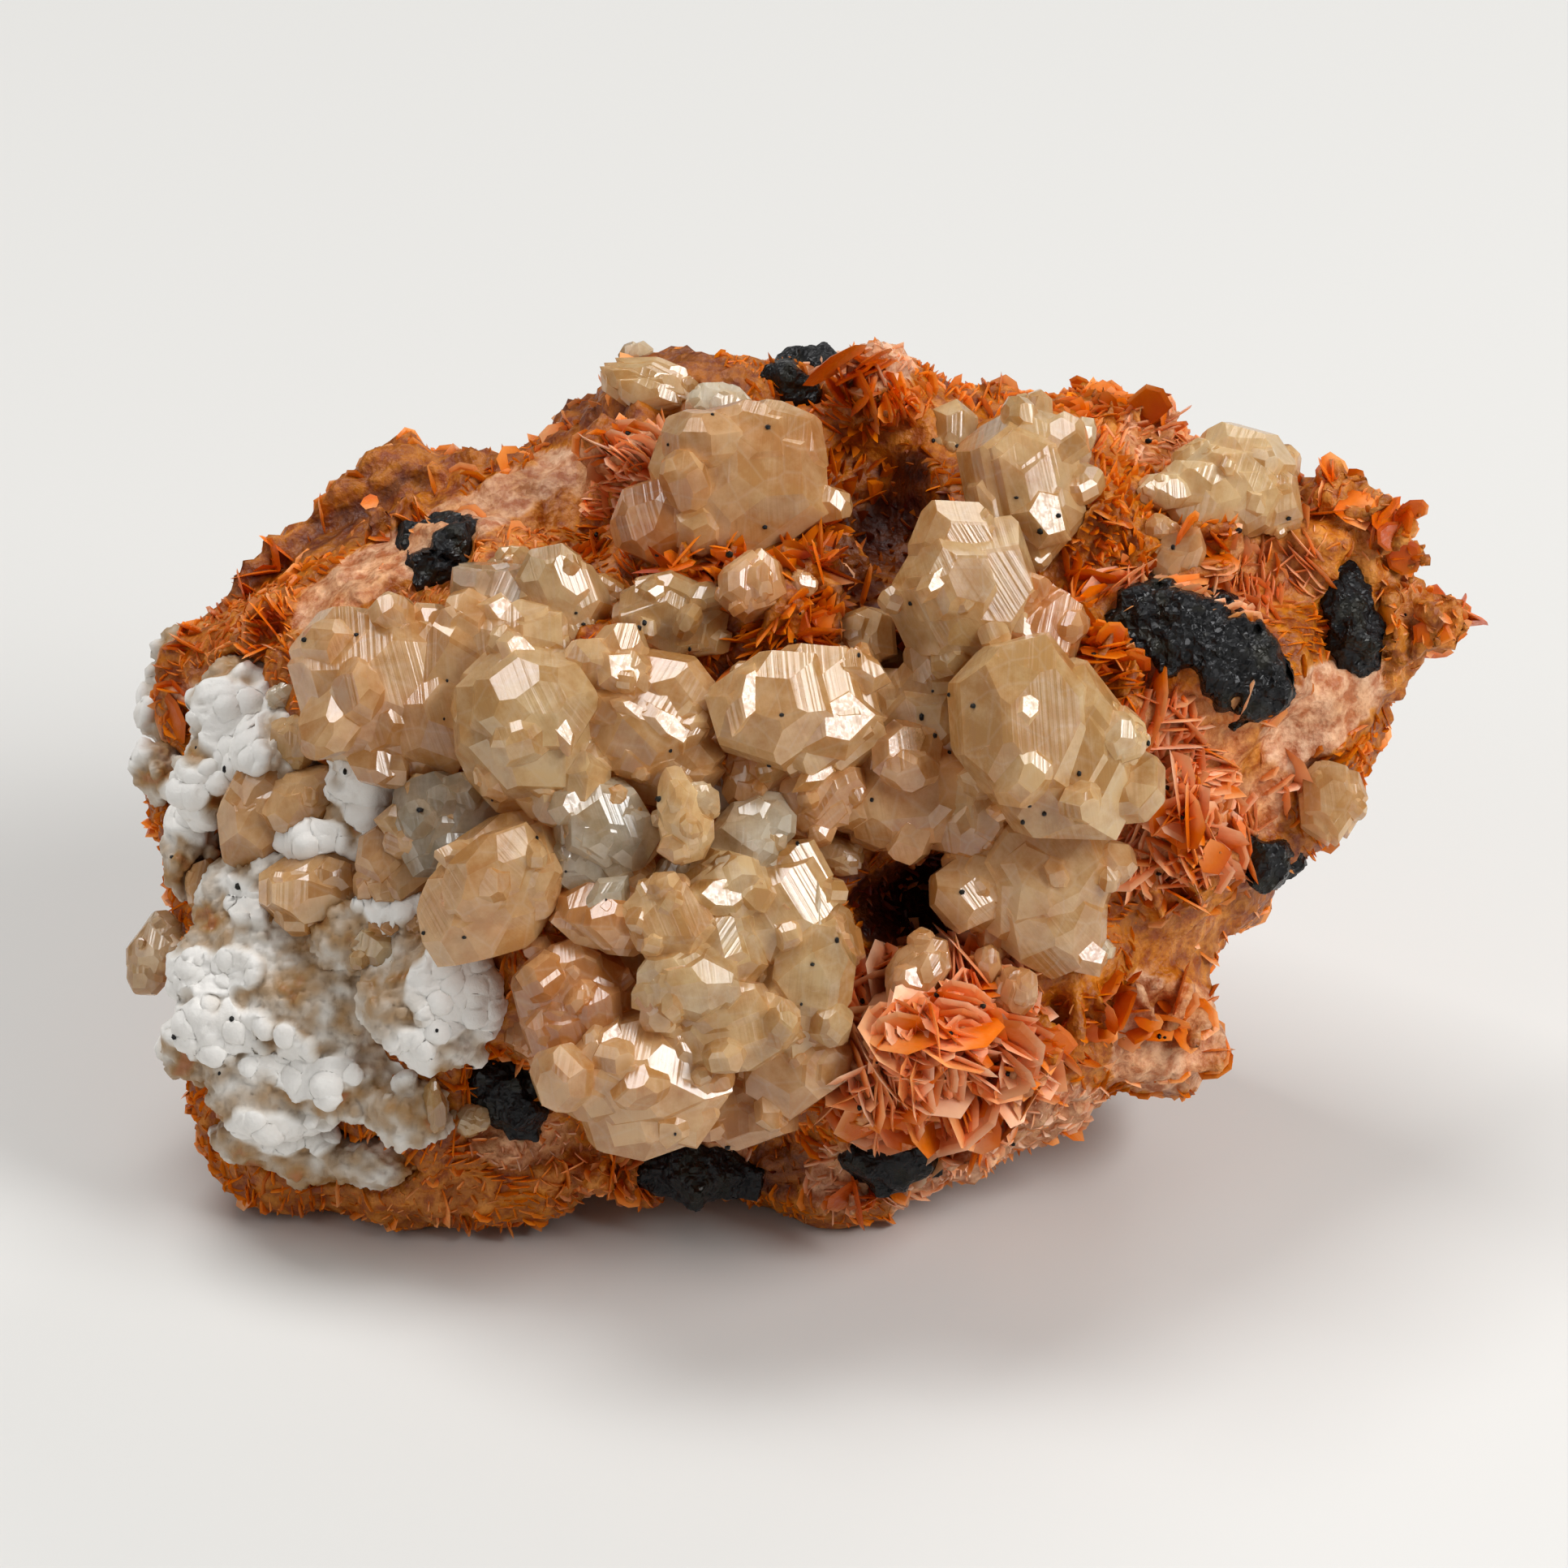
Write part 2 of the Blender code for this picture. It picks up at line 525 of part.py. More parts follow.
def split_bodies(obj, prefix, marks, collection):
    """Make one object of each body of obj, named for the largest of the marked shapes that it holds.

    marks is a list of (name, size, point). A body that holds no mark is a crumb, and goes.
    """
    bm = bmesh.new()
    bm.from_mesh(obj.data)
    made = []
    for body in islands(bm):
        part, fresh = bmesh.new(), {}
        for face in sorted(body, key=lambda f: f.index):
            for vert in face.verts:
                if vert not in fresh:
                    fresh[vert] = part.verts.new(vert.co)
            part.faces.new([fresh[vert] for vert in face.verts])
        part.normal_update()
        tree = BVHTree.FromBMesh(part)
        held = [mark for mark in marks if holds(tree, mark[2])]
        if held:
            name = max(held, key=lambda mark: mark[1])[0]
            made.append(mesh_object(prefix + name, part, collection))
        else:
            part.free()
    bm.free()
    bpy.data.objects.remove(obj, do_unlink=True)
    return made


def turn_cut(bm, edge, source):
    """Where two triangles of one source face meet at edge, cut that face across instead."""
    for one in edge.link_faces:
        for other in edge.link_faces:
            if one is other or one[source] != other[source]:
                continue
            first = next(loop for loop in one.loops if loop.edge is edge)
            p, q, c = first.vert, first.link_loop_next.vert, first.link_loop_prev.vert
            d = next(vert for vert in other.verts if vert not in edge.verts)
            new_normals = [(d.co - c.co).cross(p.co - c.co) * -1, (q.co - d.co).cross(c.co - d.co)]
            folds = any(normal.dot(one.normal) <= 0 for normal in new_normals)
            if folds or bm.edges.get((c, d)):
                continue
            bm.faces.remove(one)
            bm.faces.remove(other)
            bm.faces.new((c, p, d))
            bm.faces.new((d, q, c))
            return


def drop_flap(bm, edge):
    """Drop two triangles that meet at edge and lie back to back on the same corners."""
    for one in edge.link_faces:
        for other in edge.link_faces:
            if one is not other and set(one.verts) == set(other.verts):
                bm.faces.remove(one)
                bm.faces.remove(other)
                return


def cut_into_triangles(bm):
    """Cut all faces into triangles, with no edge between more than two of them.

    Two many-sided faces that meet along a bent line may both be cut straight across the bend, with the same
    edge. One of the two cuts is then turned.
    """
    source = bm.faces.layers.int.new("source")
    for index, face in enumerate(bm.faces):
        face[source] = index
    bmesh.ops.triangulate(bm, faces=bm.faces)
    bm.normal_update()
    for _ in range(CUT_PASSES):
        crowded = [edge for edge in bm.edges if len(edge.link_faces) > 2]
        for edge in crowded:
            drop_flap(bm, edge)
            if len(edge.link_faces) > 2:
                turn_cut(bm, edge, source)
    bm.faces.layers.int.remove(source)
    bmesh.ops.delete(bm, geom=[edge for edge in bm.edges if edge.is_wire], context="EDGES")
    bmesh.ops.delete(bm, geom=[vert for vert in bm.verts if not vert.link_faces], context="VERTS")


def tidy_mesh(obj):
    """Join the slivers of one plane that a Boolean leaves, and cut the result into triangles again."""
    bm = bmesh.new()
    bm.from_mesh(obj.data)
    bmesh.ops.dissolve_limit(bm, angle_limit=math.radians(FLAT_ANGLE), verts=bm.verts, edges=bm.edges)
    cut_into_triangles(bm)
    bm.to_mesh(obj.data)
    bm.free()


def thin_out(obj, faces):
    """Collapse the edges that matter least until the object has about this many faces."""
    tidy_mesh(obj)
    decimate = obj.modifiers.new("Decimate", "DECIMATE")
    decimate.ratio = min(1.0, faces / len(obj.data.polygons))
    apply_modifiers(obj)


def surface_under(tree, u, v):
    """(point, outward normal) where the line of sight through (u, v) meets the mass."""
    start, end = face_point(u, v, SIGHT_REACH), face_point(u, v, -SIGHT_REACH)
    point, normal, _, _ = tree.ray_cast(start, (end - start).normalized())
    if point is None:
        rim = between(RIM_DEPTH, math.degrees(bearing_of(u, v)))
        point, normal, _, _ = tree.find_nearest(face_point(u, v, rim))
    return point, normal


def build_mass(collection):
    """The bare barite mass: a sphere drawn out to the outline, with the hollows of its front."""
    bm = bmesh.new()
    bmesh.ops.create_icosphere(bm, subdivisions=MASS_SUBDIVISIONS, radius=1.0)
    for vert in bm.verts:
        vert.co = face_point(*mass_vertex(vert.co.normalized()))
    bm.normal_update()
    for vert in bm.verts:
        nodules = 1.0 - 2.0 * noise.voronoi(from_face_centre(vert.co) / NODULE_SIZE)[0][0]
        lumps = NODULE_HEIGHT * nodules + RUBBLE_HEIGHT * roughness(vert.co, RUBBLE_SIZE, 2, RUBBLE_SEED)
        vert.co += vert.normal * lumps * MM
    mass = mesh_object("barite_matrix", bm, collection)
    thin_out(mass, MASS_FACES)
    return mass


def add_blade(bm, centre, spine, outward, radius, rng):
    """One tabular barite crystal: a thin six-sided plate that holds the spine and the outward direction."""
    plate_normal = spine.cross(outward).normalized()
    frame = Matrix((spine, outward, plate_normal)).transposed().to_4x4()
    frame.translation = centre
    stretch = Matrix.Diagonal((rng.uniform(*BLADE_STRETCH), 1.0, 1.0, 1.0))
    made = bmesh.ops.create_cone(
        bm, cap_ends=True, segments=BLADE_SIDES, radius1=radius * MM, radius2=radius * MM * BLADE_TAPER,
        depth=BLADE_THICKNESS * rng.uniform(*BLADE_THICKNESS_SPREAD) * MM,
    )
    shape = frame @ Matrix.Rotation(rng.uniform(-BLADE_TURN, BLADE_TURN), 4, "Z") @ stretch
    bmesh.ops.transform(bm, matrix=shape, verts=made["verts"])


def add_sheaf(bm, point, normal, sheaf, rng):
    """Blades fanned about a spine that lies inside the mass, like the pages of an open book."""
    turn = math.radians(sheaf.bearing)
    spine = RIGHT * math.cos(turn) + UP * math.sin(turn)
    spine = (spine - normal * spine.dot(normal)).normalized()
    root = point - normal * SHEAF_ROOT_DEPTH * MM
    for i in range(sheaf.blades):
        share = i / (sheaf.blades - 1) - 0.5
        lean = math.radians(sheaf.fan * share + rng.uniform(-BLADE_LEAN, BLADE_LEAN))
        swing = math.radians(rng.uniform(-BLADE_SWING, BLADE_SWING))
        outward = Matrix.Rotation(lean, 3, spine) @ normal
        blade_spine = Matrix.Rotation(swing, 3, outward) @ spine
        radius = sheaf.radius * rng.uniform(*BLADE_RADIUS_SPREAD)
        centre = root + outward * (SHEAF_ROOT_DEPTH + BLADE_RISE * sheaf.radius) * MM
        add_blade(bm, centre, blade_spine, outward, radius, rng)


def build_blades(tree, collection, rng):
    """The sheaves of the front at their places, and a few spread evenly over the back."""
    bm = bmesh.new()
    for sheaf in FRONT_SHEAVES:
        point, normal = surface_under(tree, sheaf.u, sheaf.v)
        add_sheaf(bm, point, normal, sheaf, rng)
    centre = face_point(0, 0, BACK_MIDDLE_DEPTH)
    highest, lowest = BACK_HEIGHTS
    for i in range(BACK_SHEAVES):
        angle = BACK_TURN * i
        height = highest + (lowest - highest) * i / BACK_SHEAVES
        across, up = math.cos(angle) * BACK_SPREAD[0], math.sin(angle) * BACK_SPREAD[1] + height
        away = (RIGHT * across + UP * up - EYE * BACK_TILT).normalized()
        point, normal, _, _ = tree.ray_cast(centre + away * BACK_REACH * MM, -away)
        sheaf = Sheaf(0, 0, BACK_SHEAF_BLADES, BACK_SHEAF_RADIUS, rng.uniform(0, 180), BACK_SHEAF_FAN)
        add_sheaf(bm, point, normal, sheaf, rng)
    return mesh_object("blades", bm, collection)


def crystal_planes(rng):
    """The faces of a stout pseudo-hexagonal crystal: (outward direction, distance as a share of size)."""
    planes = [(Vector((0, 0, 1)), CRYSTAL_CAP), (Vector((0, 0, -1)), CRYSTAL_CAP)]
    for i in range(CRYSTAL_PRISM_FACES):
        turn = rng.uniform(-CRYSTAL_FACE_TURN, CRYSTAL_FACE_TURN)
        angle = math.tau * (i + turn) / CRYSTAL_PRISM_FACES
        side = Vector((math.cos(angle), math.sin(angle), 0))
        planes.append((side, CRYSTAL_SIDE))
        slope = math.radians(rng.uniform(*CRYSTAL_SLOPES))
        up = 1 if i % 2 else -1
        tilted = side * math.cos(slope) + Vector((0, 0, up * math.sin(slope)))
        planes.append((tilted, CRYSTAL_SLOPE_SHARE))
    return [(n.normalized(), d * (1 - CRYSTAL_UNEVENNESS * rng.random())) for n, d in planes]


def slice_off(bm, point, outward):
    """Cut away what lies beyond a plane, and close the cut with one face."""
    geometry = bm.verts[:] + bm.edges[:] + bm.faces[:]
    cut = bmesh.ops.bisect_plane(
        bm, geom=geometry, dist=1e-6, plane_co=point, plane_no=outward, clear_outer=True
    )
    edges = [e for e in cut["geom_cut"] if isinstance(e, bmesh.types.BMEdge)]
    if len(edges) > 2:
        bmesh.ops.edgeloop_fill(bm, edges=edges)


def build_crystal(crystal, tree, gap, collection):
    """Cut one crystal out of a cube, face by face, and seat it on the barite, grown outwards by gap."""
    rng = random.Random(crystal.name)
    bm = bmesh.new()
    bmesh.ops.create_cube(bm, size=CRYSTAL_STOCK)
    for direction, distance in crystal_planes(rng):
        slice_off(bm, direction * distance, direction)
    bmesh.ops.remove_doubles(bm, verts=bm.verts, dist=CRYSTAL_MERGE)
    bmesh.ops.recalc_face_normals(bm, faces=bm.faces)
    point, _ = surface_under(tree, crystal.u, crystal.v)
    depth = crystal.depth * (crystal.width + crystal.height) / 2
    frame = Matrix((RIGHT, UP, EYE)).transposed().to_4x4()
    frame.translation = point / MM + EYE * crystal.stand
    size = Matrix.Diagonal((crystal.width / 2 + gap, crystal.height / 2 + gap, depth / 2 + gap, 1.0))
    turn = Matrix.Rotation(math.radians(crystal.turn), 4, "Z")
    tilt = Matrix.Rotation(rng.uniform(-CRYSTAL_TILT, CRYSTAL_TILT), 4, "X")
    tilt @= Matrix.Rotation(rng.uniform(-CRYSTAL_TILT, CRYSTAL_TILT), 4, "Y")
    bmesh.ops.transform(bm, matrix=frame @ turn @ size @ tilt, verts=bm.verts)
    buried = min(depth / 2, crystal.stand + CRYSTAL_ROOT) + gap
    slice_off(bm, frame.translation - EYE * buried, -EYE)
    bmesh.ops.scale(bm, vec=(MM, MM, MM), verts=bm.verts)
    return mesh_object("crystal_" + crystal.name, bm, collection)


def build_crystals(tree, specimen, cutters):
    """The crystals, one object for each group that grew together, and a cutter for each crystal."""
    made = [build_crystal(crystal, tree, 0.0, specimen) for crystal in CRYSTALS]
    sockets = [hide_as_cutter(build_crystal(crystal, tree, GAP, cutters)) for crystal in CRYSTALS]
    marks = [(c.name, c.width * c.height, middle_of(obj)) for c, obj in zip(CRYSTALS, made)]
    joined = made[0]
    for obj in made[1:]:
        boolean(joined, obj, "UNION")
        bpy.data.objects.remove(obj, do_unlink=True)
    tidy_mesh(joined)
    return split_bodies(joined, "cerussite_", marks, specimen), sockets


def middle_of(obj):
    """Middle of the object's box."""
    corners = [Vector(c) for c in obj.bound_box]
    return sum(corners, Vector()) / 8


def holds(tree, point):
    """Whether the closed surface in tree holds the point inside it."""
    crossings, start = 0, point.copy()
    direction = INSIDE_LINE.normalized()
    while True:
        hit, _, _, _ = tree.ray_cast(start, direction)
        if hit is None:
            return crossings % 2 == 1
        crossings += 1
        start = hit + direction * INSIDE_STEP * MM


def add_lump(bm, point, across, up, depth, bearing):
    """A flattened ball that lies on the front of the mass."""
    made = bmesh.ops.create_icosphere(bm, subdivisions=LUMP_SUBDIVISIONS, radius=1.0)
    frame = Matrix((RIGHT, UP, EYE)).transposed().to_4x4()
    frame.translation = point
    turn = Matrix.Rotation(math.radians(bearing), 4, "Z")
    size = Matrix.Diagonal((across * MM, up * MM, depth * MM, 1.0))
    bmesh.ops.transform(bm, matrix=frame @ turn @ size, verts=made["verts"])
    return made["verts"]


def build_crust(tree, collection):
    """White crust: its lobes run together by a voxel remesh, then thinned to a few faces."""
    bm = bmesh.new()
    for lobe in CRUST_LOBES:
        point, _ = surface_under(tree, lobe.u, lobe.v)
        add_lump(bm, point, lobe.across, lobe.up, CRUST_DEPTH, 0)
    crust = mesh_object("white_crust", bm, collection)
    remesh = crust.modifiers.new("Remesh", "REMESH")
    remesh.mode = "VOXEL"
    remesh.voxel_size = CRUST_VOXEL * MM
    apply_modifiers(crust)
    thin_out(crust, CRUST_FACES)
    return crust


def build_galena(lump, tree, collection):
    """One lump of galena, roughly cubic cleavage steps on a flattened ball."""
    point, _ = surface_under(tree, lump.u, lump.v)
    bm = bmesh.new()
    seat = point - EYE * GALENA_SINK * MM
    verts = add_lump(bm, seat, lump.across, lump.up, GALENA_DEPTH, lump.bearing)
    bm.normal_update()
    for vert in verts:
        height = GALENA_STEP_HEIGHT * roughness(vert.co, GALENA_STEP_SIZE, 2, GALENA_SEED)
        vert.co += vert.normal * height * MM
    obj = mesh_object("galena_" + lump.name, bm, collection)
    thin_out(obj, GALENA_FACES)
    return obj


def cut_flat_below(obj):
    """Break the specimen off flat where it rests."""
    bm = bmesh.new()
    bm.from_mesh(obj.data)
    if min(v.co.z for v in bm.verts) < 0:
        geometry = bm.verts[:] + bm.edges[:] + bm.faces[:]
        cut = bmesh.ops.bisect_plane(
            bm, geom=geometry, dist=CUT_MERGE * MM, plane_co=(0, 0, 0), plane_no=(0, 0, 1), clear_inner=True
        )
        edges = [e for e in cut["geom_cut"] if isinstance(e, bmesh.types.BMEdge)]
        bmesh.ops.holes_fill(bm, edges=edges, sides=0)
        bmesh.ops.triangulate(bm, faces=bm.faces)
        bmesh.ops.recalc_face_normals(bm, faces=bm.faces)
    bm.to_mesh(obj.data)
    bm.free()


def give_material(objects, name):
    """Give every object the named material."""
    look = LOOKS[name]
    material = bpy.data.materials.new(name)
    material.use_nodes = True
    shader = material.node_tree.nodes["Principled BSDF"]
    shader.inputs["Base Color"].default_value = (*look.colour, 1.0)
    shader.inputs["Roughness"].default_value = look.roughness
    shader.inputs["Metallic"].default_value = look.metallic
    for obj in objects:
        obj.data.materials.clear()
        obj.data.materials.append(material)


def main():
    """Build the specimen, cut the sockets and the base, and give the materials."""
    clear_scene()
    rng = random.Random(SEED)
    specimen = new_collection("barite_with_cerussite")
    cutters = new_collection("cutters")

    matrix = build_mass(specimen)
    bm = bmesh.new()
    bm.from_mesh(matrix.data)
    tree = BVHTree.FromBMesh(bm)
    bm.free()
    blades = build_blades(tree, cutters, rng)
    boolean(matrix, blades, "UNION", self_overlap=True)
    bpy.data.objects.remove(blades, do_unlink=True)
    thin_out(matrix, BLADED_FACES)

    crystals, crystal_sockets = build_crystals(tree, specimen, cutters)
    crust = build_crust(tree, specimen)
    crust_socket = grown_copy(crust, GAP, cutters)
    lumps = [build_galena(lump, tree, specimen) for lump in GALENA]
    lump_sockets = [grown_copy(lump, GAP, cutters) for lump in lumps]

    cut_sockets(crust, crystal_sockets)
    marks = []
    for lobe in CRUST_LOBES:
        point, _ = surface_under(tree, lobe.u, lobe.v)
        marks.append((lobe.name, lobe.across * lobe.up, point))
    crusts = split_bodies(crust, "crust_", marks, specimen)
    for lump in lumps:
        cut_sockets(lump, crystal_sockets + [crust_socket])
        keep_largest_body(lump)
    cut_sockets(matrix, crystal_sockets + [crust_socket] + lump_sockets)
    thin_out(matrix, MATRIX_FACES)

    pieces = [matrix] + crystals + crusts + lumps
    for piece in pieces:
        cut_flat_below(piece)
    keep_largest_body(matrix)

    give_material([matrix], "barite")
    give_material(crystals, "cerussite")
    give_material(crusts, "white_crust")
    give_material(lumps, "galena")


if __name__ == "__main__":
    main()
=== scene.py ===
"""The looks of a hand specimen of barite with cerussite, 72 mm long.

A lump of orange and peach crested barite carries glassy honey-coloured cerussite crystals, a chalk-white
crust, dark galena and small black specks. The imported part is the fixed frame. Each kind of mineral is built
over its own solids, and places on the front are given as they are seen, in millimetres on a picture plane.
"""

import logging
import math
from dataclasses import dataclass, field
from enum import Enum
from typing import Iterable, Sequence

import bmesh
import bpy
import numpy as np
from mathutils import Matrix, Vector, noise
from mathutils.bvhtree import BVHTree
from mathutils.kdtree import KDTree


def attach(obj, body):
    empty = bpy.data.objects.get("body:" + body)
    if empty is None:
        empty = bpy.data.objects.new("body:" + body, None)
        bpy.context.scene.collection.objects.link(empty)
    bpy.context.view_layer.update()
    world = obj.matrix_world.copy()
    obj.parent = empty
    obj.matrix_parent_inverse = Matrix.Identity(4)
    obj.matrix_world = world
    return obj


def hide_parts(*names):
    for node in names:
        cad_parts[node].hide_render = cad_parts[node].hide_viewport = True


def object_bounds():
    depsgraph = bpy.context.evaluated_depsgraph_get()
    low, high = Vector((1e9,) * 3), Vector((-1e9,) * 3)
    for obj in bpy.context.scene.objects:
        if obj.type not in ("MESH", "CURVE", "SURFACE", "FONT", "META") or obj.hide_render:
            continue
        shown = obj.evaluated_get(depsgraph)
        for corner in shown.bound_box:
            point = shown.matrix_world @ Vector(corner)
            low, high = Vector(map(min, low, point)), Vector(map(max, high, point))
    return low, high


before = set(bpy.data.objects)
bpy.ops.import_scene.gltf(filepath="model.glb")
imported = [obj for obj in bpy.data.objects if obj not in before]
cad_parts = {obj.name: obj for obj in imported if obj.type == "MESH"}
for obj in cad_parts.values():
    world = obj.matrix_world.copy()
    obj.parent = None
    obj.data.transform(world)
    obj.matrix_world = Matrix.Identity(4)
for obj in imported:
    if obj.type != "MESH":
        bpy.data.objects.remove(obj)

LOG = logging.getLogger("barite_with_cerussite")
MM = 0.001
BODY = "root"
MERGE_DISTANCE = 1e-6
CAD_LOW, CAD_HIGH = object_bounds()


def linear_colour(hex_code: str) -> tuple[float, float, float, float]:
    """Turns an sRGB colour into the linear one that a shader works with.

    Args:
        hex_code: The colour as "#rrggbb".

    Returns:
        Red, green, blue and an alpha of 1.
    """
    parts = [int(hex_code[i:i + 2], 16) / 255 for i in (1, 3, 5)]
    made = [c / 12.92 if c <= 0.04045 else ((c + 0.055) / 1.055) ** 2.4 for c in parts]
    return made[0], made[1], made[2], 1.0


def add_node(
    tree: bpy.types.NodeTree,
    kind: str,
    settings: dict[str | int, object] | None = None,
    links: dict[str | int, bpy.types.NodeSocket] | None = None,
) -> bpy.types.Node:
    """Adds one shader node with its settings and its links.

    Args:
        tree: The material's node tree.
        kind: The node's type name.
        settings: Values of options, of inputs, and "stops" for the colours of a ramp.
        links: Inputs, by name or place, and the outputs that feed them.

    Returns:
        The new node.
    """
    node = tree.nodes.new(kind)
    for name, value in (settings or {}).items():
        if name == "stops":
            ramp = node.color_ramp
            while len(ramp.elements) < len(value):
                ramp.elements.new(1.0)
            for element, (place, colour) in zip(ramp.elements, value):
                element.position = place
                element.color = linear_colour(colour)
        elif isinstance(name, int) or name in node.inputs:
            node.inputs[name].default_value = value
        else:
            setattr(node, name, value)
    for name, socket in (links or {}).items():
        tree.links.new(socket, node.inputs[name])
    return node


@dataclass(frozen=True)
class PicturePlane:
    """The plane on which the front is described: u to the right, v up and w towards the eye.

    The scene's camera looks straight at its centre, so (u, v) is where a point is seen.
    """

    centre: tuple[float, float, float] = (-1.2, -1.0, 22.0)
    elevation: float = 30.0
    distance: float = 450.0

    @property
    def eye(self) -> Vector:
        """The direction from the centre to the eye."""
        tilt = math.radians(self.elevation)
        return Vector((0.0, -math.cos(tilt), math.sin(tilt)))

    @property
    def right(self) -> Vector:
        """The direction of u."""
        return Vector((1.0, 0.0, 0.0))

    @property
    def up(self) -> Vector:
        """The direction of v."""
        tilt = math.radians(self.elevation)
        return Vector((0.0, math.sin(tilt), math.cos(tilt)))

    @property
    def camera_place(self) -> Vector:
        """The eye itself, in metres."""
        return (Vector(self.centre) + self.eye * self.distance) * MM

    def point(self, u: float, v: float, w: float = 0.0) -> Vector:
        """Gives the point in metres that is seen at (u, v).

        Args:
            u: Millimetres to the right.
            v: Millimetres up.
            w: Millimetres before the plane.

        Returns:
            The point in the row frame.
        """
        nearer = 1.0 - w / self.distance
        return (Vector(self.centre) + (self.right * u + self.up * v) * nearer + self.eye * w) * MM

    def places(self, points: np.ndarray) -> np.ndarray:
        """Gives where points are seen.

        Args:
            points: Rows of x, y and z in metres.

        Returns:
            Rows of u, v and w in millimetres.
        """
        away = points / MM - np.array(self.centre)
        w = away @ np.array(self.eye)
        nearer = 1.0 - w / self.distance
        return np.stack([away @ np.array(self.right) / nearer, away @ np.array(self.up) / nearer, w], axis=1)


PLANE = PicturePlane()


@dataclass(frozen=True)
class Patch:
    """An oval on the picture plane, in millimetres, with the bearing of its long side in degrees."""

    name: str
    u: float
    v: float
    across: float
    up: float
    bearing: float = 0.0

    def nearness(self, places: np.ndarray) -> np.ndarray:
        """Gives how far out points lie: 0 in the middle and 1 at the oval's edge.

        Args:
            places: Rows that start with u and v.

        Returns:
            One number for each row.
        """
        turn = math.radians(self.bearing)
        du = places[:, 0] - self.u
        dv = places[:, 1] - self.v
        along = (du * math.cos(turn) + dv * math.sin(turn)) / self.across
        aside = (dv * math.cos(turn) - du * math.sin(turn)) / self.up
        return np.hypot(along, aside)


class BladeForm(Enum):
    """The habits in which the barite grew."""

    PLATE = "plate"
    LANCE = "lance"
    CHIP = "chip"
    NONE = "none"


@dataclass(frozen=True)
class Zone(Patch):
    """A part of the front where the barite has one look.

    tone runs from 0, pale pink, over 0.35, peach orange, and 0.7, deep orange, to 1, dark red-brown. The darkest
    tones, given to zones in hollows, recesses, valleys and gaps, are painted shade.
    """

    tone: float = 0.35
    form: BladeForm = BladeForm.PLATE
    radius: float = 1.4
    spacing: float = 0.6
    crossing: float = 0.25
    proud: float = 0.5
    lumpiness: float = 0.3


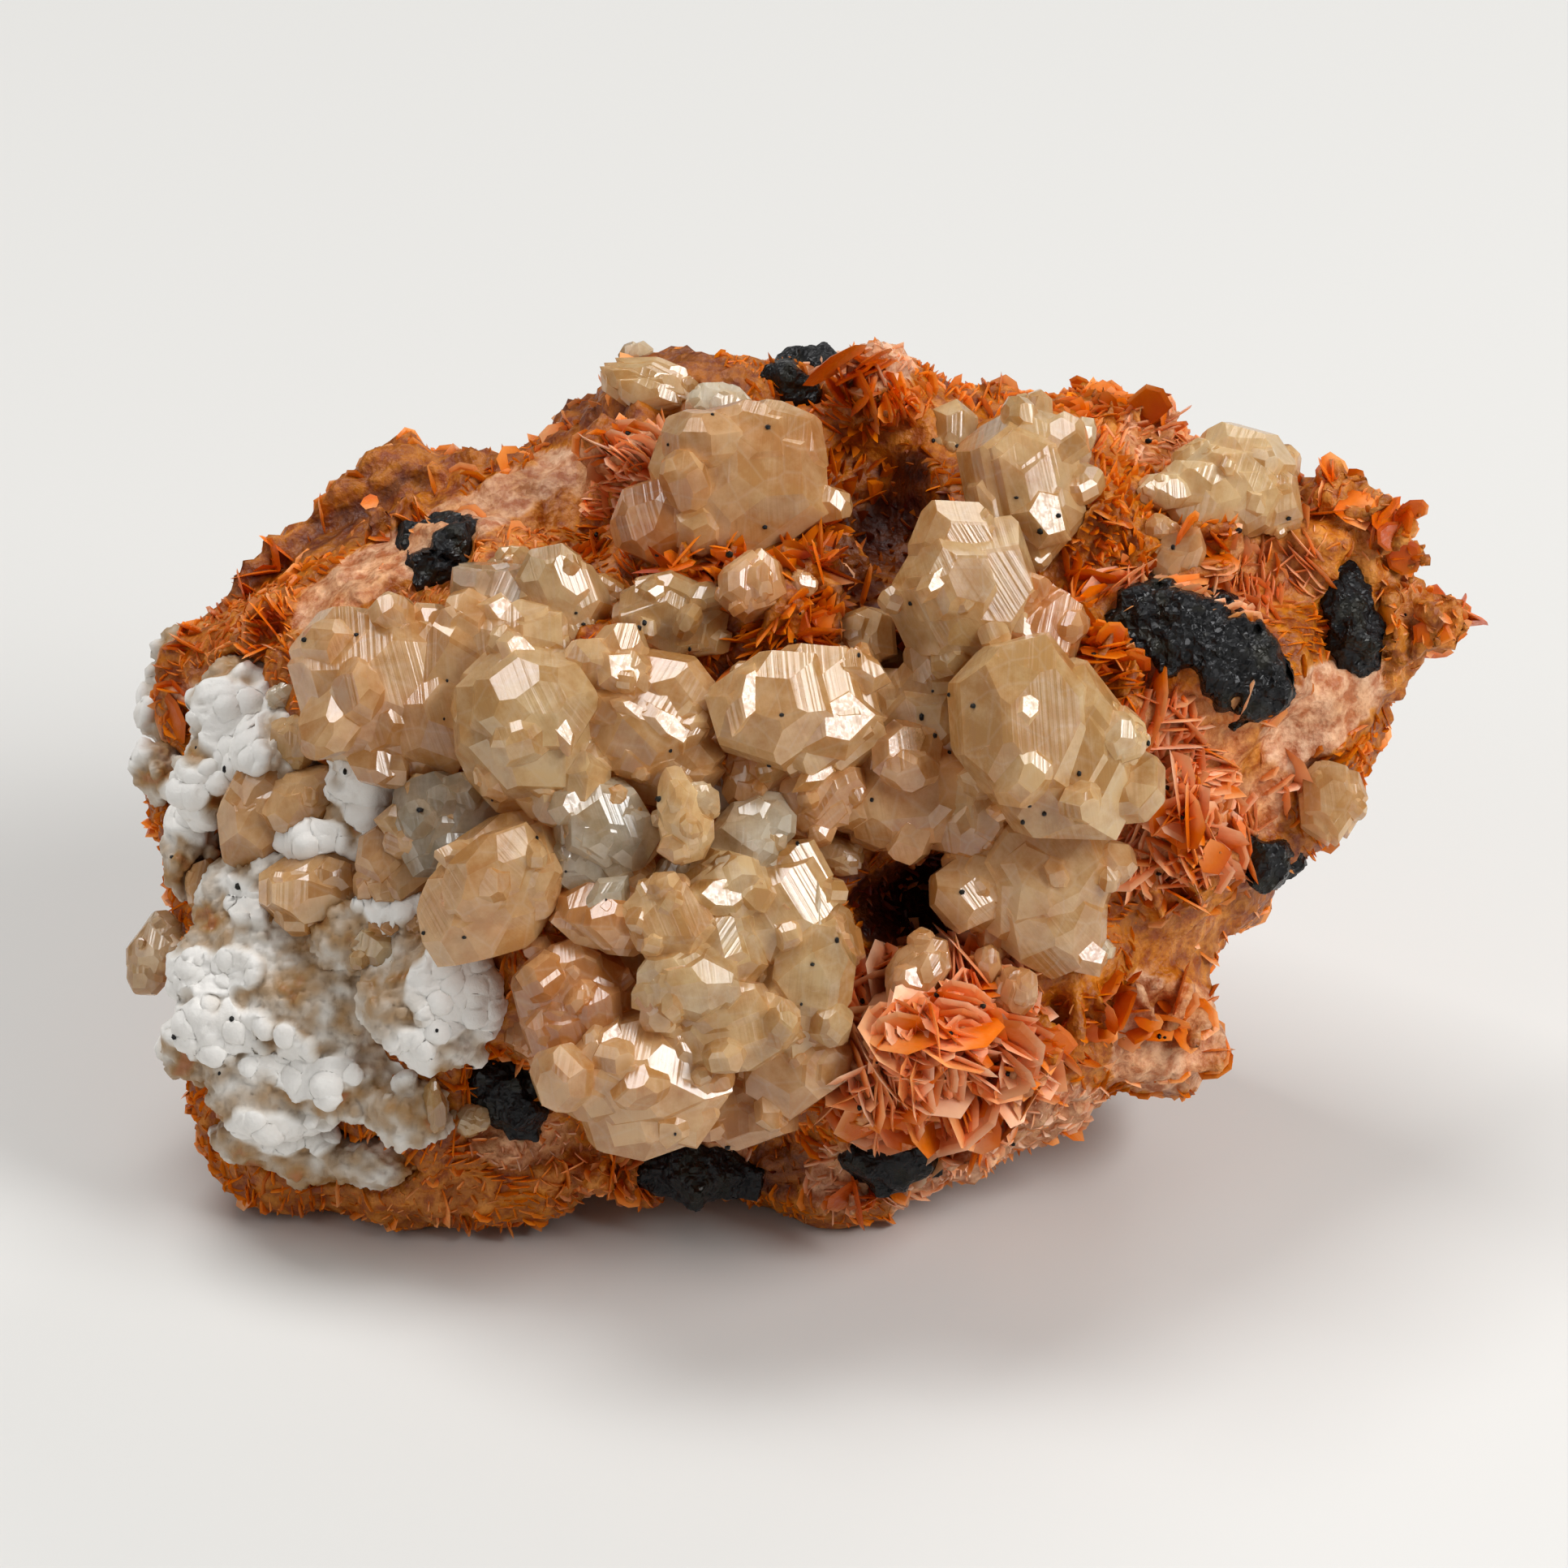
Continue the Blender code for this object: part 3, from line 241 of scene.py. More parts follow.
ZONES = [
    Zone("centre_spikes", -1.0, 11.0, 5.4, 4.2, 0, 0.62, BladeForm.LANCE, 1.9, 0.5, 0.35, 0.9, 0.2),
    Zone("upper_spikes", 3.9, 16.6, 2.4, 2.8, 0, 0.66, BladeForm.LANCE, 1.8, 0.55, 0.3, 0.8, 0.2),
    Zone("long_blades", -12.2, 9.0, 1.5, 2.4, 30, 0.64, BladeForm.LANCE, 2.4, 0.6, 0.1, 0.8, 0.2),
    # painted shade: the recess gets a dark tone for the shade that falls in it
    Zone("recess", 5.6, 11.6, 3.4, 6.2, 0, 0.86, BladeForm.LANCE, 1.5, 0.6, 0.4, 0.6, 0.3),
    # painted shade: a dark tone in the gap between the crystals
    Zone("gap_left_of_keystone", -3.0, 4.6, 1.4, 2.0, 0, 0.8, BladeForm.CHIP, 0.8, 0.45, 0.3, 0.4, 0.3),
    Zone("inner_right", 20.0, 13.6, 4.8, 3.8, 0, 0.54, BladeForm.LANCE, 1.2, 0.38, 0.3, 0.75, 0.3),
    Zone("inner_right_foot", 21.6, 10.6, 5.2, 1.8, -10, 0.24, BladeForm.PLATE, 1.4, 0.42, 0.25, 0.5, 0.3),
    Zone("beside_ridge", 16.2, 8.2, 1.8, 4.0, 20, 0.6, BladeForm.PLATE, 1.4, 0.55, 0.1, 0.7, 0.2),
    Zone("rim_shoulder", 31.6, 14.0, 4.6, 4.2, 0, 0.36, BladeForm.CHIP, 0.55, 0.55, 0.6, 0.25, 1.5),
    Zone("rim_far_right", 34.2, 8.6, 2.6, 5.6, 0, 0.36, BladeForm.CHIP, 0.55, 0.55, 0.6, 0.25, 1.5),
    Zone("rim_between", 26.6, 12.6, 3.0, 3.0, 0, 0.26, BladeForm.PLATE, 1.2, 0.44, 0.3, 0.45, 0.6),
    Zone("pink_wall", 29.0, 4.0, 4.2, 1.9, 40, 0.04, BladeForm.NONE, 0.8, 0.7, 0.3, 0.2, 0.6),
    Zone("under_galena", 21.6, -0.6, 5.0, 5.2, 0, 0.22, BladeForm.PLATE, 1.55, 0.44, 0.3, 0.55, 0.4),
    Zone("smooth_peach", 22.0, -8.0, 3.0, 2.8, 20, 0.42, BladeForm.NONE, 0.9, 0.9, 0.3, 0.2, 0.5),
    Zone("rosette", 8.6, -14.2, 5.8, 5.4, -10, 0.2, BladeForm.PLATE, 2.3, 0.46, 0.3, 0.6, 0.2),
    Zone("orange_mass", 15.6, -12.4, 2.6, 3.4, 10, 0.5, BladeForm.CHIP, 0.8, 0.8, 0.2, 0.25, 0.4),
    Zone("lower_right_edge", 20.6, -13.6, 3.4, 3.2, 0, 0.12, BladeForm.NONE, 0.9, 0.8, 0.3, 0.2, 0.7),
    Zone("ochre_edge", 25.0, -6.6, 1.6, 4.6, -25, 0.62, BladeForm.NONE, 0.8, 0.7, 0.3, 0.25, 0.6),
    # painted shade: the hollow gets the darkest tone for the shade inside it
    Zone("hollow", 7.6, -6.6, 3.6, 2.8, 0, 0.97, BladeForm.LANCE, 1.5, 0.7, 0.4, 0.5, 0.4),
    Zone("crest", -21.2, 11.5, 12.0, 1.6, 31, 0.1, BladeForm.NONE, 1.2, 0.45, 0.2, 0.45, 0.5),
    Zone("inside_crest", -20.0, 10.0, 10.0, 1.6, 31, 0.36, BladeForm.CHIP, 0.65, 0.34, 0.3, 0.35, 0.6),
    Zone("left_basin", -28.0, 7.4, 4.2, 2.8, 20, 0.42, BladeForm.CHIP, 0.7, 0.34, 0.3, 0.4, 0.6),
    Zone("back_left_mass", -24.0, 16.4, 11.0, 3.2, 22, 0.6, BladeForm.NONE, 1.1, 0.62, 0.3, 0.45, 1.0),
    Zone("top_block", -9.0, 21.2, 6.4, 3.0, 0, 0.72, BladeForm.NONE, 1.0, 0.7, 0.3, 0.3, 0.9),
    Zone("crest_fold", -8.0, 17.4, 3.6, 2.0, 30, 0.2, BladeForm.PLATE, 1.3, 0.4, 0.15, 0.5, 0.3),
    Zone("top_peach", 4.0, 22.6, 3.0, 1.4, 0, 0.1, BladeForm.CHIP, 1.0, 0.6, 0.3, 0.4, 0.4),
    Zone("top_right", 13.0, 19.8, 7.0, 2.4, -5, 0.44, BladeForm.PLATE, 0.9, 0.38, 0.3, 0.55, 0.4),
    Zone("top_far_right", 21.0, 18.4, 4.0, 2.0, -20, 0.22, BladeForm.PLATE, 0.8, 0.38, 0.3, 0.45, 0.5),
    Zone("base_brown", -20.1, -22.2, 4.2, 1.5, 0, 0.42, BladeForm.CHIP, 0.55, 0.55, 0.6, 0.4, 1.2),
    Zone("base_rubble", -14.1, -19.2, 3.0, 1.5, 0, 0.16, BladeForm.CHIP, 0.6, 0.5, 0.7, 0.5, 1.6),
    Zone("base_red", -10.3, -20.9, 2.8, 1.6, 0, 0.36, BladeForm.CHIP, 0.7, 0.5, 0.6, 0.5, 1.4),
    # painted shade: base_dark and base_shadow are dark tones for the shaded gaps along the foot
    Zone("base_dark", -6.5, -20.6, 1.1, 1.3, 0, 0.85, BladeForm.CHIP, 0.6, 0.6, 0.7, 0.3, 1.6),
    Zone("base_beige", -3.8, -20.2, 2.0, 1.7, 0, 0.12, BladeForm.CHIP, 0.6, 0.5, 0.7, 0.5, 1.6),
    Zone("base_shadow", -0.3, -20.7, 1.9, 1.3, 0, 0.85, BladeForm.CHIP, 0.6, 0.6, 0.7, 0.3, 1.6),
    Zone("base_pink", 2.9, -21.2, 1.8, 1.9, 0, 0.14, BladeForm.CHIP, 0.7, 0.5, 0.6, 0.5, 1.4),
    Zone("base_right", 8.6, -22.0, 2.8, 1.7, 0, 0.08, BladeForm.CHIP, 0.8, 0.48, 0.5, 0.5, 1.2),
    Zone("lower_lip", 13.4, -18.4, 4.2, 2.2, 10, 0.1, BladeForm.CHIP, 0.7, 0.5, 0.4, 0.35, 0.9),
    Zone("under_lip", -17.0, -14.4, 1.9, 2.4, 0, 0.6, BladeForm.CHIP, 0.9, 0.5, 0.3, 0.5, 0.5),
    # painted shade: the valley behind the crest gets a dark tone for the shadow the crest casts
    Zone("valley", -24.5, 14.0, 10.5, 0.9, 31, 0.8, BladeForm.NONE, 0.9, 0.5, 0.3, 0.3, 0.4),
]
FRONT_ZONE = Zone("between_crystals", 0, 0, 1, 1, 0, 0.55, BladeForm.PLATE, 0.8, 0.42, 0.25, 0.45, 0.4)
BACK_ZONE = Zone("broken_back", 0, 0, 1, 1, 0, 0.36, BladeForm.PLATE, 1.4, 0.6, 0.3, 0.35, 0.8)


@dataclass(frozen=True)
class ZoneMap:
    """Says which zone each point of the barite belongs to."""

    zones: Sequence[Zone]
    front: Zone
    back: Zone
    edge_unevenness: float = 0.22
    unevenness_mm: float = 2.2
    facing_limit: float = 0.05

    @property
    def all(self) -> list[Zone]:
        """Every zone, the two general ones last."""
        return [*self.zones, self.front, self.back]

    def indexes(self, points: np.ndarray, normals: np.ndarray) -> np.ndarray:
        """Gives each point's zone as a place in the list of all zones.

        Args:
            points: Rows of x, y and z in metres.
            normals: The outward directions there.

        Returns:
            One whole number for each point.
        """
        places = PLANE.places(points)
        wobble = np.array([noise.noise(Vector(p) / (self.unevenness_mm * MM)) for p in points])
        near = np.stack([z.nearness(places) for z in self.zones], axis=1)
        near += wobble[:, None] * self.edge_unevenness
        chosen = near.argmin(axis=1)
        chosen[near.min(axis=1) > 1.1] = len(self.zones)
        facing = normals @ np.array(PLANE.eye)
        chosen[facing + wobble * self.edge_unevenness < -self.facing_limit] = len(self.zones) + 1
        return chosen

    def values(self, field_name: str, chosen: np.ndarray) -> np.ndarray:
        """Gives one of the numbers of each chosen zone."""
        return np.array([getattr(z, field_name) for z in self.all])[chosen]


ZONE_MAP = ZoneMap(ZONES, FRONT_ZONE, BACK_ZONE)


def positions(mesh: bpy.types.Mesh) -> np.ndarray:
    """Reads a mesh's points as rows of x, y and z."""
    rows = np.empty(len(mesh.vertices) * 3, np.float32)
    mesh.vertices.foreach_get("co", rows)
    return rows.reshape(-1, 3).astype(float)


def directions(mesh: bpy.types.Mesh) -> np.ndarray:
    """Reads a mesh's outward directions at its points as rows of x, y and z."""
    rows = np.empty(len(mesh.vertices) * 3, np.float32)
    mesh.vertex_normals.foreach_get("vector", rows)
    return rows.reshape(-1, 3).astype(float)


def move_points(mesh: bpy.types.Mesh, points: np.ndarray) -> None:
    """Puts a mesh's points in new places.

    Args:
        mesh: The mesh to change.
        points: Rows of x, y and z in metres. What lies under the ground is lifted onto it.
    """
    points = points.copy()
    points[:, 2] = np.maximum(points[:, 2], 0.0)
    mesh.vertices.foreach_set("co", points.astype(np.float32).ravel())
    mesh.update()


def write_attribute(mesh: bpy.types.Mesh, name: str, values: np.ndarray) -> None:
    """Stores one number for each point, which a material reads by its name.

    Args:
        mesh: The mesh to mark.
        name: The attribute's name.
        values: One number for each point.
    """
    layer = mesh.attributes.get(name) or mesh.attributes.new(name, "FLOAT", "POINT")
    layer.data.foreach_set("value", np.asarray(values, np.float32))


def smooth_noise(points: np.ndarray, size_mm: float, seed: int = 0) -> np.ndarray:
    """Gives a soft random number between about -1 and 1 at each point.

    Args:
        points: Rows of x, y and z in metres.
        size_mm: The size of one swelling.
        seed: Which pattern of the many.

    Returns:
        One number for each point.
    """
    offset = Vector((seed * 3.17, seed * 5.71, seed * 1.93))
    return np.array([noise.noise(Vector(p) / (size_mm * MM) + offset) for p in points])


class Piece:
    """A finished piece: a mesh object made from CAD nodes or from a bmesh."""

    def __init__(self, name: str, bm: bmesh.types.BMesh) -> None:
        """Makes the object.

        Args:
            name: The piece's name.
            bm: Its shape, which is freed.
        """
        mesh = bpy.data.meshes.new(name)
        bm.to_mesh(mesh)
        bm.free()
        self.object = bpy.data.objects.new(name, mesh)
        bpy.context.scene.collection.objects.link(self.object)

    @property
    def mesh(self) -> bpy.types.Mesh:
        """The object's mesh."""
        return self.object.data

    def modify(self, kind: str, **settings: object) -> None:
        """Runs one modifier and keeps its result as the mesh.

        Args:
            kind: The modifier's type.
            settings: Its options.
        """
        modifier = self.object.modifiers.new(kind.lower(), kind)
        for name, value in settings.items():
            setattr(modifier, name, value)
        bpy.context.view_layer.update()
        graph = bpy.context.evaluated_depsgraph_get()
        made = bpy.data.meshes.new_from_object(self.object.evaluated_get(graph))
        spent = self.object.data
        self.object.modifiers.clear()
        self.object.data = made
        made.name = self.object.name
        bpy.data.meshes.remove(spent)

    def tree(self) -> BVHTree:
        """A search tree of the mesh's faces."""
        bm = bmesh.new()
        bm.from_mesh(self.mesh)
        made = BVHTree.FromBMesh(bm)
        bm.free()
        return made

    def finish(self, material: bpy.types.Material, slot: str, nodes: Iterable[str] = (), smooth: bool = True) -> None:
        """Dresses the piece and lets it ride on the specimen.

        Args:
            material: What it is made of.
            slot: Not used.
            nodes: The CAD nodes that it stands for.
            smooth: Whether its faces are shaded as one skin.
        """
        self.mesh.materials.clear()
        self.mesh.materials.append(material)
        self.mesh.shade_smooth() if smooth else self.mesh.shade_flat()
        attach(self.object, BODY)
        if nodes:
            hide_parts(*nodes)
        LOG.info("%s: %d triangles", self.object.name, sum(len(p.vertices) - 2 for p in self.mesh.polygons))


def merged_nodes(names: Iterable[str]) -> bmesh.types.BMesh:
    """Copies CAD nodes into one bmesh, with the loose triangles of each joined at their corners.

    Args:
        names: The nodes to copy.

    Returns:
        The copy.
    """
    bm = bmesh.new()
    for name in names:
        bm.from_mesh(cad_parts[name].data)
    bmesh.ops.remove_doubles(bm, verts=bm.verts, dist=MERGE_DISTANCE)
    return bm


def nodes_starting(prefix: str) -> list[str]:
    """Lists the CAD nodes whose names start with a word."""
    return sorted(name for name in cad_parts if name.startswith(prefix))


def scattered(piece_mesh: bpy.types.Mesh, count: int, rng: np.random.Generator) -> tuple[np.ndarray, np.ndarray]:
    """Picks random points on a mesh, equally dense all over.

    Args:
        piece_mesh: The mesh to pick on.
        count: How many points.
        rng: The source of chance.

    Returns:
        The points and the outward directions there.
    """
    piece_mesh.calc_loop_triangles()
    corners = np.empty(len(piece_mesh.loop_triangles) * 3, np.int32)
    piece_mesh.loop_triangles.foreach_get("vertices", corners)
    corners = corners.reshape(-1, 3)
    points = positions(piece_mesh)
    a, b, c = points[corners[:, 0]], points[corners[:, 1]], points[corners[:, 2]]
    across = np.cross(b - a, c - a)
    area = np.linalg.norm(across, axis=1)
    chosen = rng.choice(len(corners), count, p=area / area.sum())
    one, two = rng.random((2, count, 1))
    one, two = np.where(one + two > 1, 1 - one, one), np.where(one + two > 1, 1 - two, two)
    found = a[chosen] + (b[chosen] - a[chosen]) * one + (c[chosen] - a[chosen]) * two
    return found, across[chosen] / np.maximum(area[chosen, None], 1e-20)


def spaced(points: np.ndarray, spacing_mm: np.ndarray) -> list[int]:
    """Thins points so that none stands closer to an earlier one than its own spacing.

    Args:
        points: Rows of x, y and z in metres.
        spacing_mm: The least distance for each point.

    Returns:
        The places of the points that are kept.
    """
    cell = float(spacing_mm.max()) * MM
    grid: dict[tuple[int, int, int], list[int]] = {}
    kept = []
    keys = np.floor(points / cell).astype(int)
    for i, (x, y, z) in enumerate(keys):
        least = (spacing_mm[i] * MM) ** 2
        around = (
            j
            for dx in (-1, 0, 1)
            for dy in (-1, 0, 1)
            for dz in (-1, 0, 1)
            for j in grid.get((x + dx, y + dy, z + dz), ())
        )
        if all(((points[i] - points[j]) ** 2).sum() > least for j in around):
            grid.setdefault((x, y, z), []).append(i)
            kept.append(i)
    return kept


@dataclass(frozen=True)
class GroundFinish:
    """Massive barite between the blades: dull, granular and stained orange by iron."""

    grain_mm: float = 0.35
    facet_mm: float = 0.6
    stain_mm: float = 3.0
    fleck_mm: float = 0.9
    roughness: float = 0.45
    ior: float = 1.64
    specular: float = 0.3

    def material(self) -> bpy.types.Material:
        """Makes the material. Its stains and grain give a broken, earthy surface."""
        made = bpy.data.materials.new("massive_barite_iron_stained")
        made.use_nodes = True
        tree = made.node_tree
        tree.nodes.clear()
        tone = add_node(tree, "ShaderNodeAttribute", {"attribute_name": "tone"})
        shade = add_node(tree, "ShaderNodeAttribute", {"attribute_name": "shade"})
        place = add_node(tree, "ShaderNodeTexCoord")
        stain = add_node(
            tree, "ShaderNodeTexNoise", {"Scale": 1 / (self.stain_mm * MM), "Detail": 4.0},
            {"Vector": place.outputs["Object"]},
        )
        fleck = add_node(
            tree, "ShaderNodeTexNoise", {"Scale": 1 / (self.fleck_mm * MM), "Detail": 5.0, "Roughness": 0.65},
            {"Vector": place.outputs["Object"]},
        )
        shift = add_node(
            tree, "ShaderNodeMath", {"operation": "MULTIPLY_ADD", 1: 0.5, 2: -0.25}, {0: stain.outputs["Fac"]},
        )
        moved = add_node(
            tree, "ShaderNodeMath", {"operation": "ADD"}, {0: tone.outputs["Fac"], 1: shift.outputs["Value"]},
        )
        # the dark end of both ramps (tone 1) also paints the shade of the hollow, recess, valley and gap zones
        low = add_node(
            tree, "ShaderNodeValToRGB",
            {"stops": [(0.0, "#b87450"), (0.3, "#a4541a"), (0.65, "#823600"), (1.0, "#280300")]},
            {"Fac": moved.outputs["Value"]},
        )
        high = add_node(
            tree, "ShaderNodeValToRGB",
            {"stops": [(0.0, "#f0c4a2"), (0.3, "#dc9450"), (0.65, "#b86a10"), (1.0, "#4a1002")]},
            {"Fac": moved.outputs["Value"]},
        )
        spread = add_node(
            tree, "ShaderNodeMapRange", {"From Min": 0.38, "From Max": 0.62}, {"Value": fleck.outputs["Fac"]},
        )
        colour = add_node(
            tree, "ShaderNodeMix", {"data_type": "RGBA"},
            {0: spread.outputs["Result"], 6: low.outputs["Color"], 7: high.outputs["Color"]},
        )
        shaded = add_node(
            tree, "ShaderNodeHueSaturation", {"Saturation": 1.06},
            {"Color": colour.outputs[2], "Value": shade.outputs["Fac"]},
        )
        grain = add_node(
            tree, "ShaderNodeTexVoronoi", {"Scale": 1 / (self.grain_mm * MM), "Randomness": 1.0},
            {"Vector": place.outputs["Object"]},
        )
        coarse = add_node(
            tree, "ShaderNodeBump", {"Strength": 0.8, "Distance": 0.25 * MM}, {"Height": fleck.outputs["Fac"]},
        )
        facets = add_node(
            tree, "ShaderNodeTexVoronoi", {"Scale": 1 / (self.facet_mm * MM), "distance": "CHEBYCHEV"},
            {"Vector": place.outputs["Object"]},
        )
        broken = add_node(
            tree, "ShaderNodeBump", {"Strength": 0.6, "Distance": 0.14 * MM},
            {"Height": facets.outputs["Color"], "Normal": coarse.outputs["Normal"]},
        )
        bump = add_node(
            tree, "ShaderNodeBump", {"Strength": 0.6, "Distance": 0.12 * MM},
            {"Height": grain.outputs["Distance"], "Normal": broken.outputs["Normal"]},
        )
        skin = add_node(
            tree, "ShaderNodeBsdfPrincipled",
            {"Roughness": self.roughness, "IOR": self.ior, "Specular IOR Level": self.specular},
            {"Base Color": shaded.outputs["Color"], "Normal": bump.outputs["Normal"]},
        )
        add_node(tree, "ShaderNodeOutputMaterial", links={"Surface": skin.outputs["BSDF"]})
        return made


@dataclass(frozen=True)
class BladeFinish:
    """Crested barite blades: pearly, a little see-through, with pale rims over an orange root, partly their own
    colour and partly painted: painted glow on the rims, painted shade at the roots.
    """

    streak_mm: float = 0.22
    veil_mm: float = 0.9
    roughness: float = 0.4
    ior: float = 1.64
    specular: float = 0.2
    subsurface: float = 0.18

    def material(self) -> bpy.types.Material:
        """Makes the material. Light sinks into the thin plates, so they glow; the pale rims and darker roots are
        partly painted glow and painted shade mixed into the colour.
        """
        made = bpy.data.materials.new("crested_barite_blades")
        made.use_nodes = True
        tree = made.node_tree
        tree.nodes.clear()
        tone = add_node(tree, "ShaderNodeAttribute", {"attribute_name": "tone"})
        shade = add_node(tree, "ShaderNodeAttribute", {"attribute_name": "shade"})
        tip = add_node(tree, "ShaderNodeAttribute", {"attribute_name": "tip"})
        place = add_node(tree, "ShaderNodeTexCoord")
        veil = add_node(
            tree, "ShaderNodeTexNoise", {"Scale": 1 / (self.veil_mm * MM), "Detail": 3.0},
            {"Vector": place.outputs["Object"]},
        )
        streak = add_node(
            tree, "ShaderNodeTexNoise", {"Scale": 1 / (self.streak_mm * MM), "Detail": 3.0},
            {"Vector": place.outputs["Object"]},
        )
        # the dark end of both ramps (tone 1) also paints the shade of blades in the hollow and recess zones
        root = add_node(
            tree, "ShaderNodeValToRGB",
            {"stops": [(0.0, "#dc8450"), (0.3, "#d46010"), (0.65, "#b84200"), (1.0, "#320400")]},
            {"Fac": tone.outputs["Fac"]},
        )
        rim = add_node(
            tree, "ShaderNodeValToRGB",
            {"stops": [(0.0, "#fcdcc4"), (0.3, "#f8b684"), (0.65, "#ea7c04"), (1.0, "#6a1a02")]},
            {"Fac": tone.outputs["Fac"]},
        )
        reach = add_node(
            tree, "ShaderNodeMath", {"operation": "MULTIPLY_ADD", 1: 0.5, 2: -0.25}, {0: veil.outputs["Fac"]},
        )
        height = add_node(
            tree, "ShaderNodeMath", {"operation": "ADD", "use_clamp": True},
            {0: tip.outputs["Fac"], 1: reach.outputs["Value"]},
        )
        # painted light and shade: the mix by tip paints the rims pale as if lit through and the roots darker as if
        # shaded, over the blades' own zoning
        colour = add_node(
            tree, "ShaderNodeMix", {"data_type": "RGBA"},
            {0: height.outputs["Value"], 6: root.outputs["Color"], 7: rim.outputs["Color"]},
        )
        shaded = add_node(
            tree, "ShaderNodeHueSaturation", {"Saturation": 1.1},
            {"Color": colour.outputs[2], "Value": shade.outputs["Fac"]},
        )
        polish = add_node(
            tree, "ShaderNodeMapRange",
            {"From Min": 0.3, "From Max": 0.7, "To Min": self.roughness - 0.12, "To Max": self.roughness + 0.18},
            {"Value": streak.outputs["Fac"]},
        )
        bump = add_node(
            tree, "ShaderNodeBump", {"Strength": 0.35, "Distance": 0.06 * MM}, {"Height": streak.outputs["Fac"]},
        )
        skin = add_node(
            tree, "ShaderNodeBsdfPrincipled",
            {"subsurface_method": "BURLEY", "IOR": self.ior, "Specular IOR Level": self.specular,
             "Subsurface Weight": self.subsurface, "Subsurface Radius": (1.0, 0.42, 0.16),
             "Subsurface Scale": 1.0 * MM},
            {"Base Color": shaded.outputs["Color"], "Roughness": polish.outputs["Result"],
             "Normal": bump.outputs["Normal"]},
        )
        add_node(tree, "ShaderNodeOutputMaterial", links={"Surface": skin.outputs["BSDF"]})
        return made


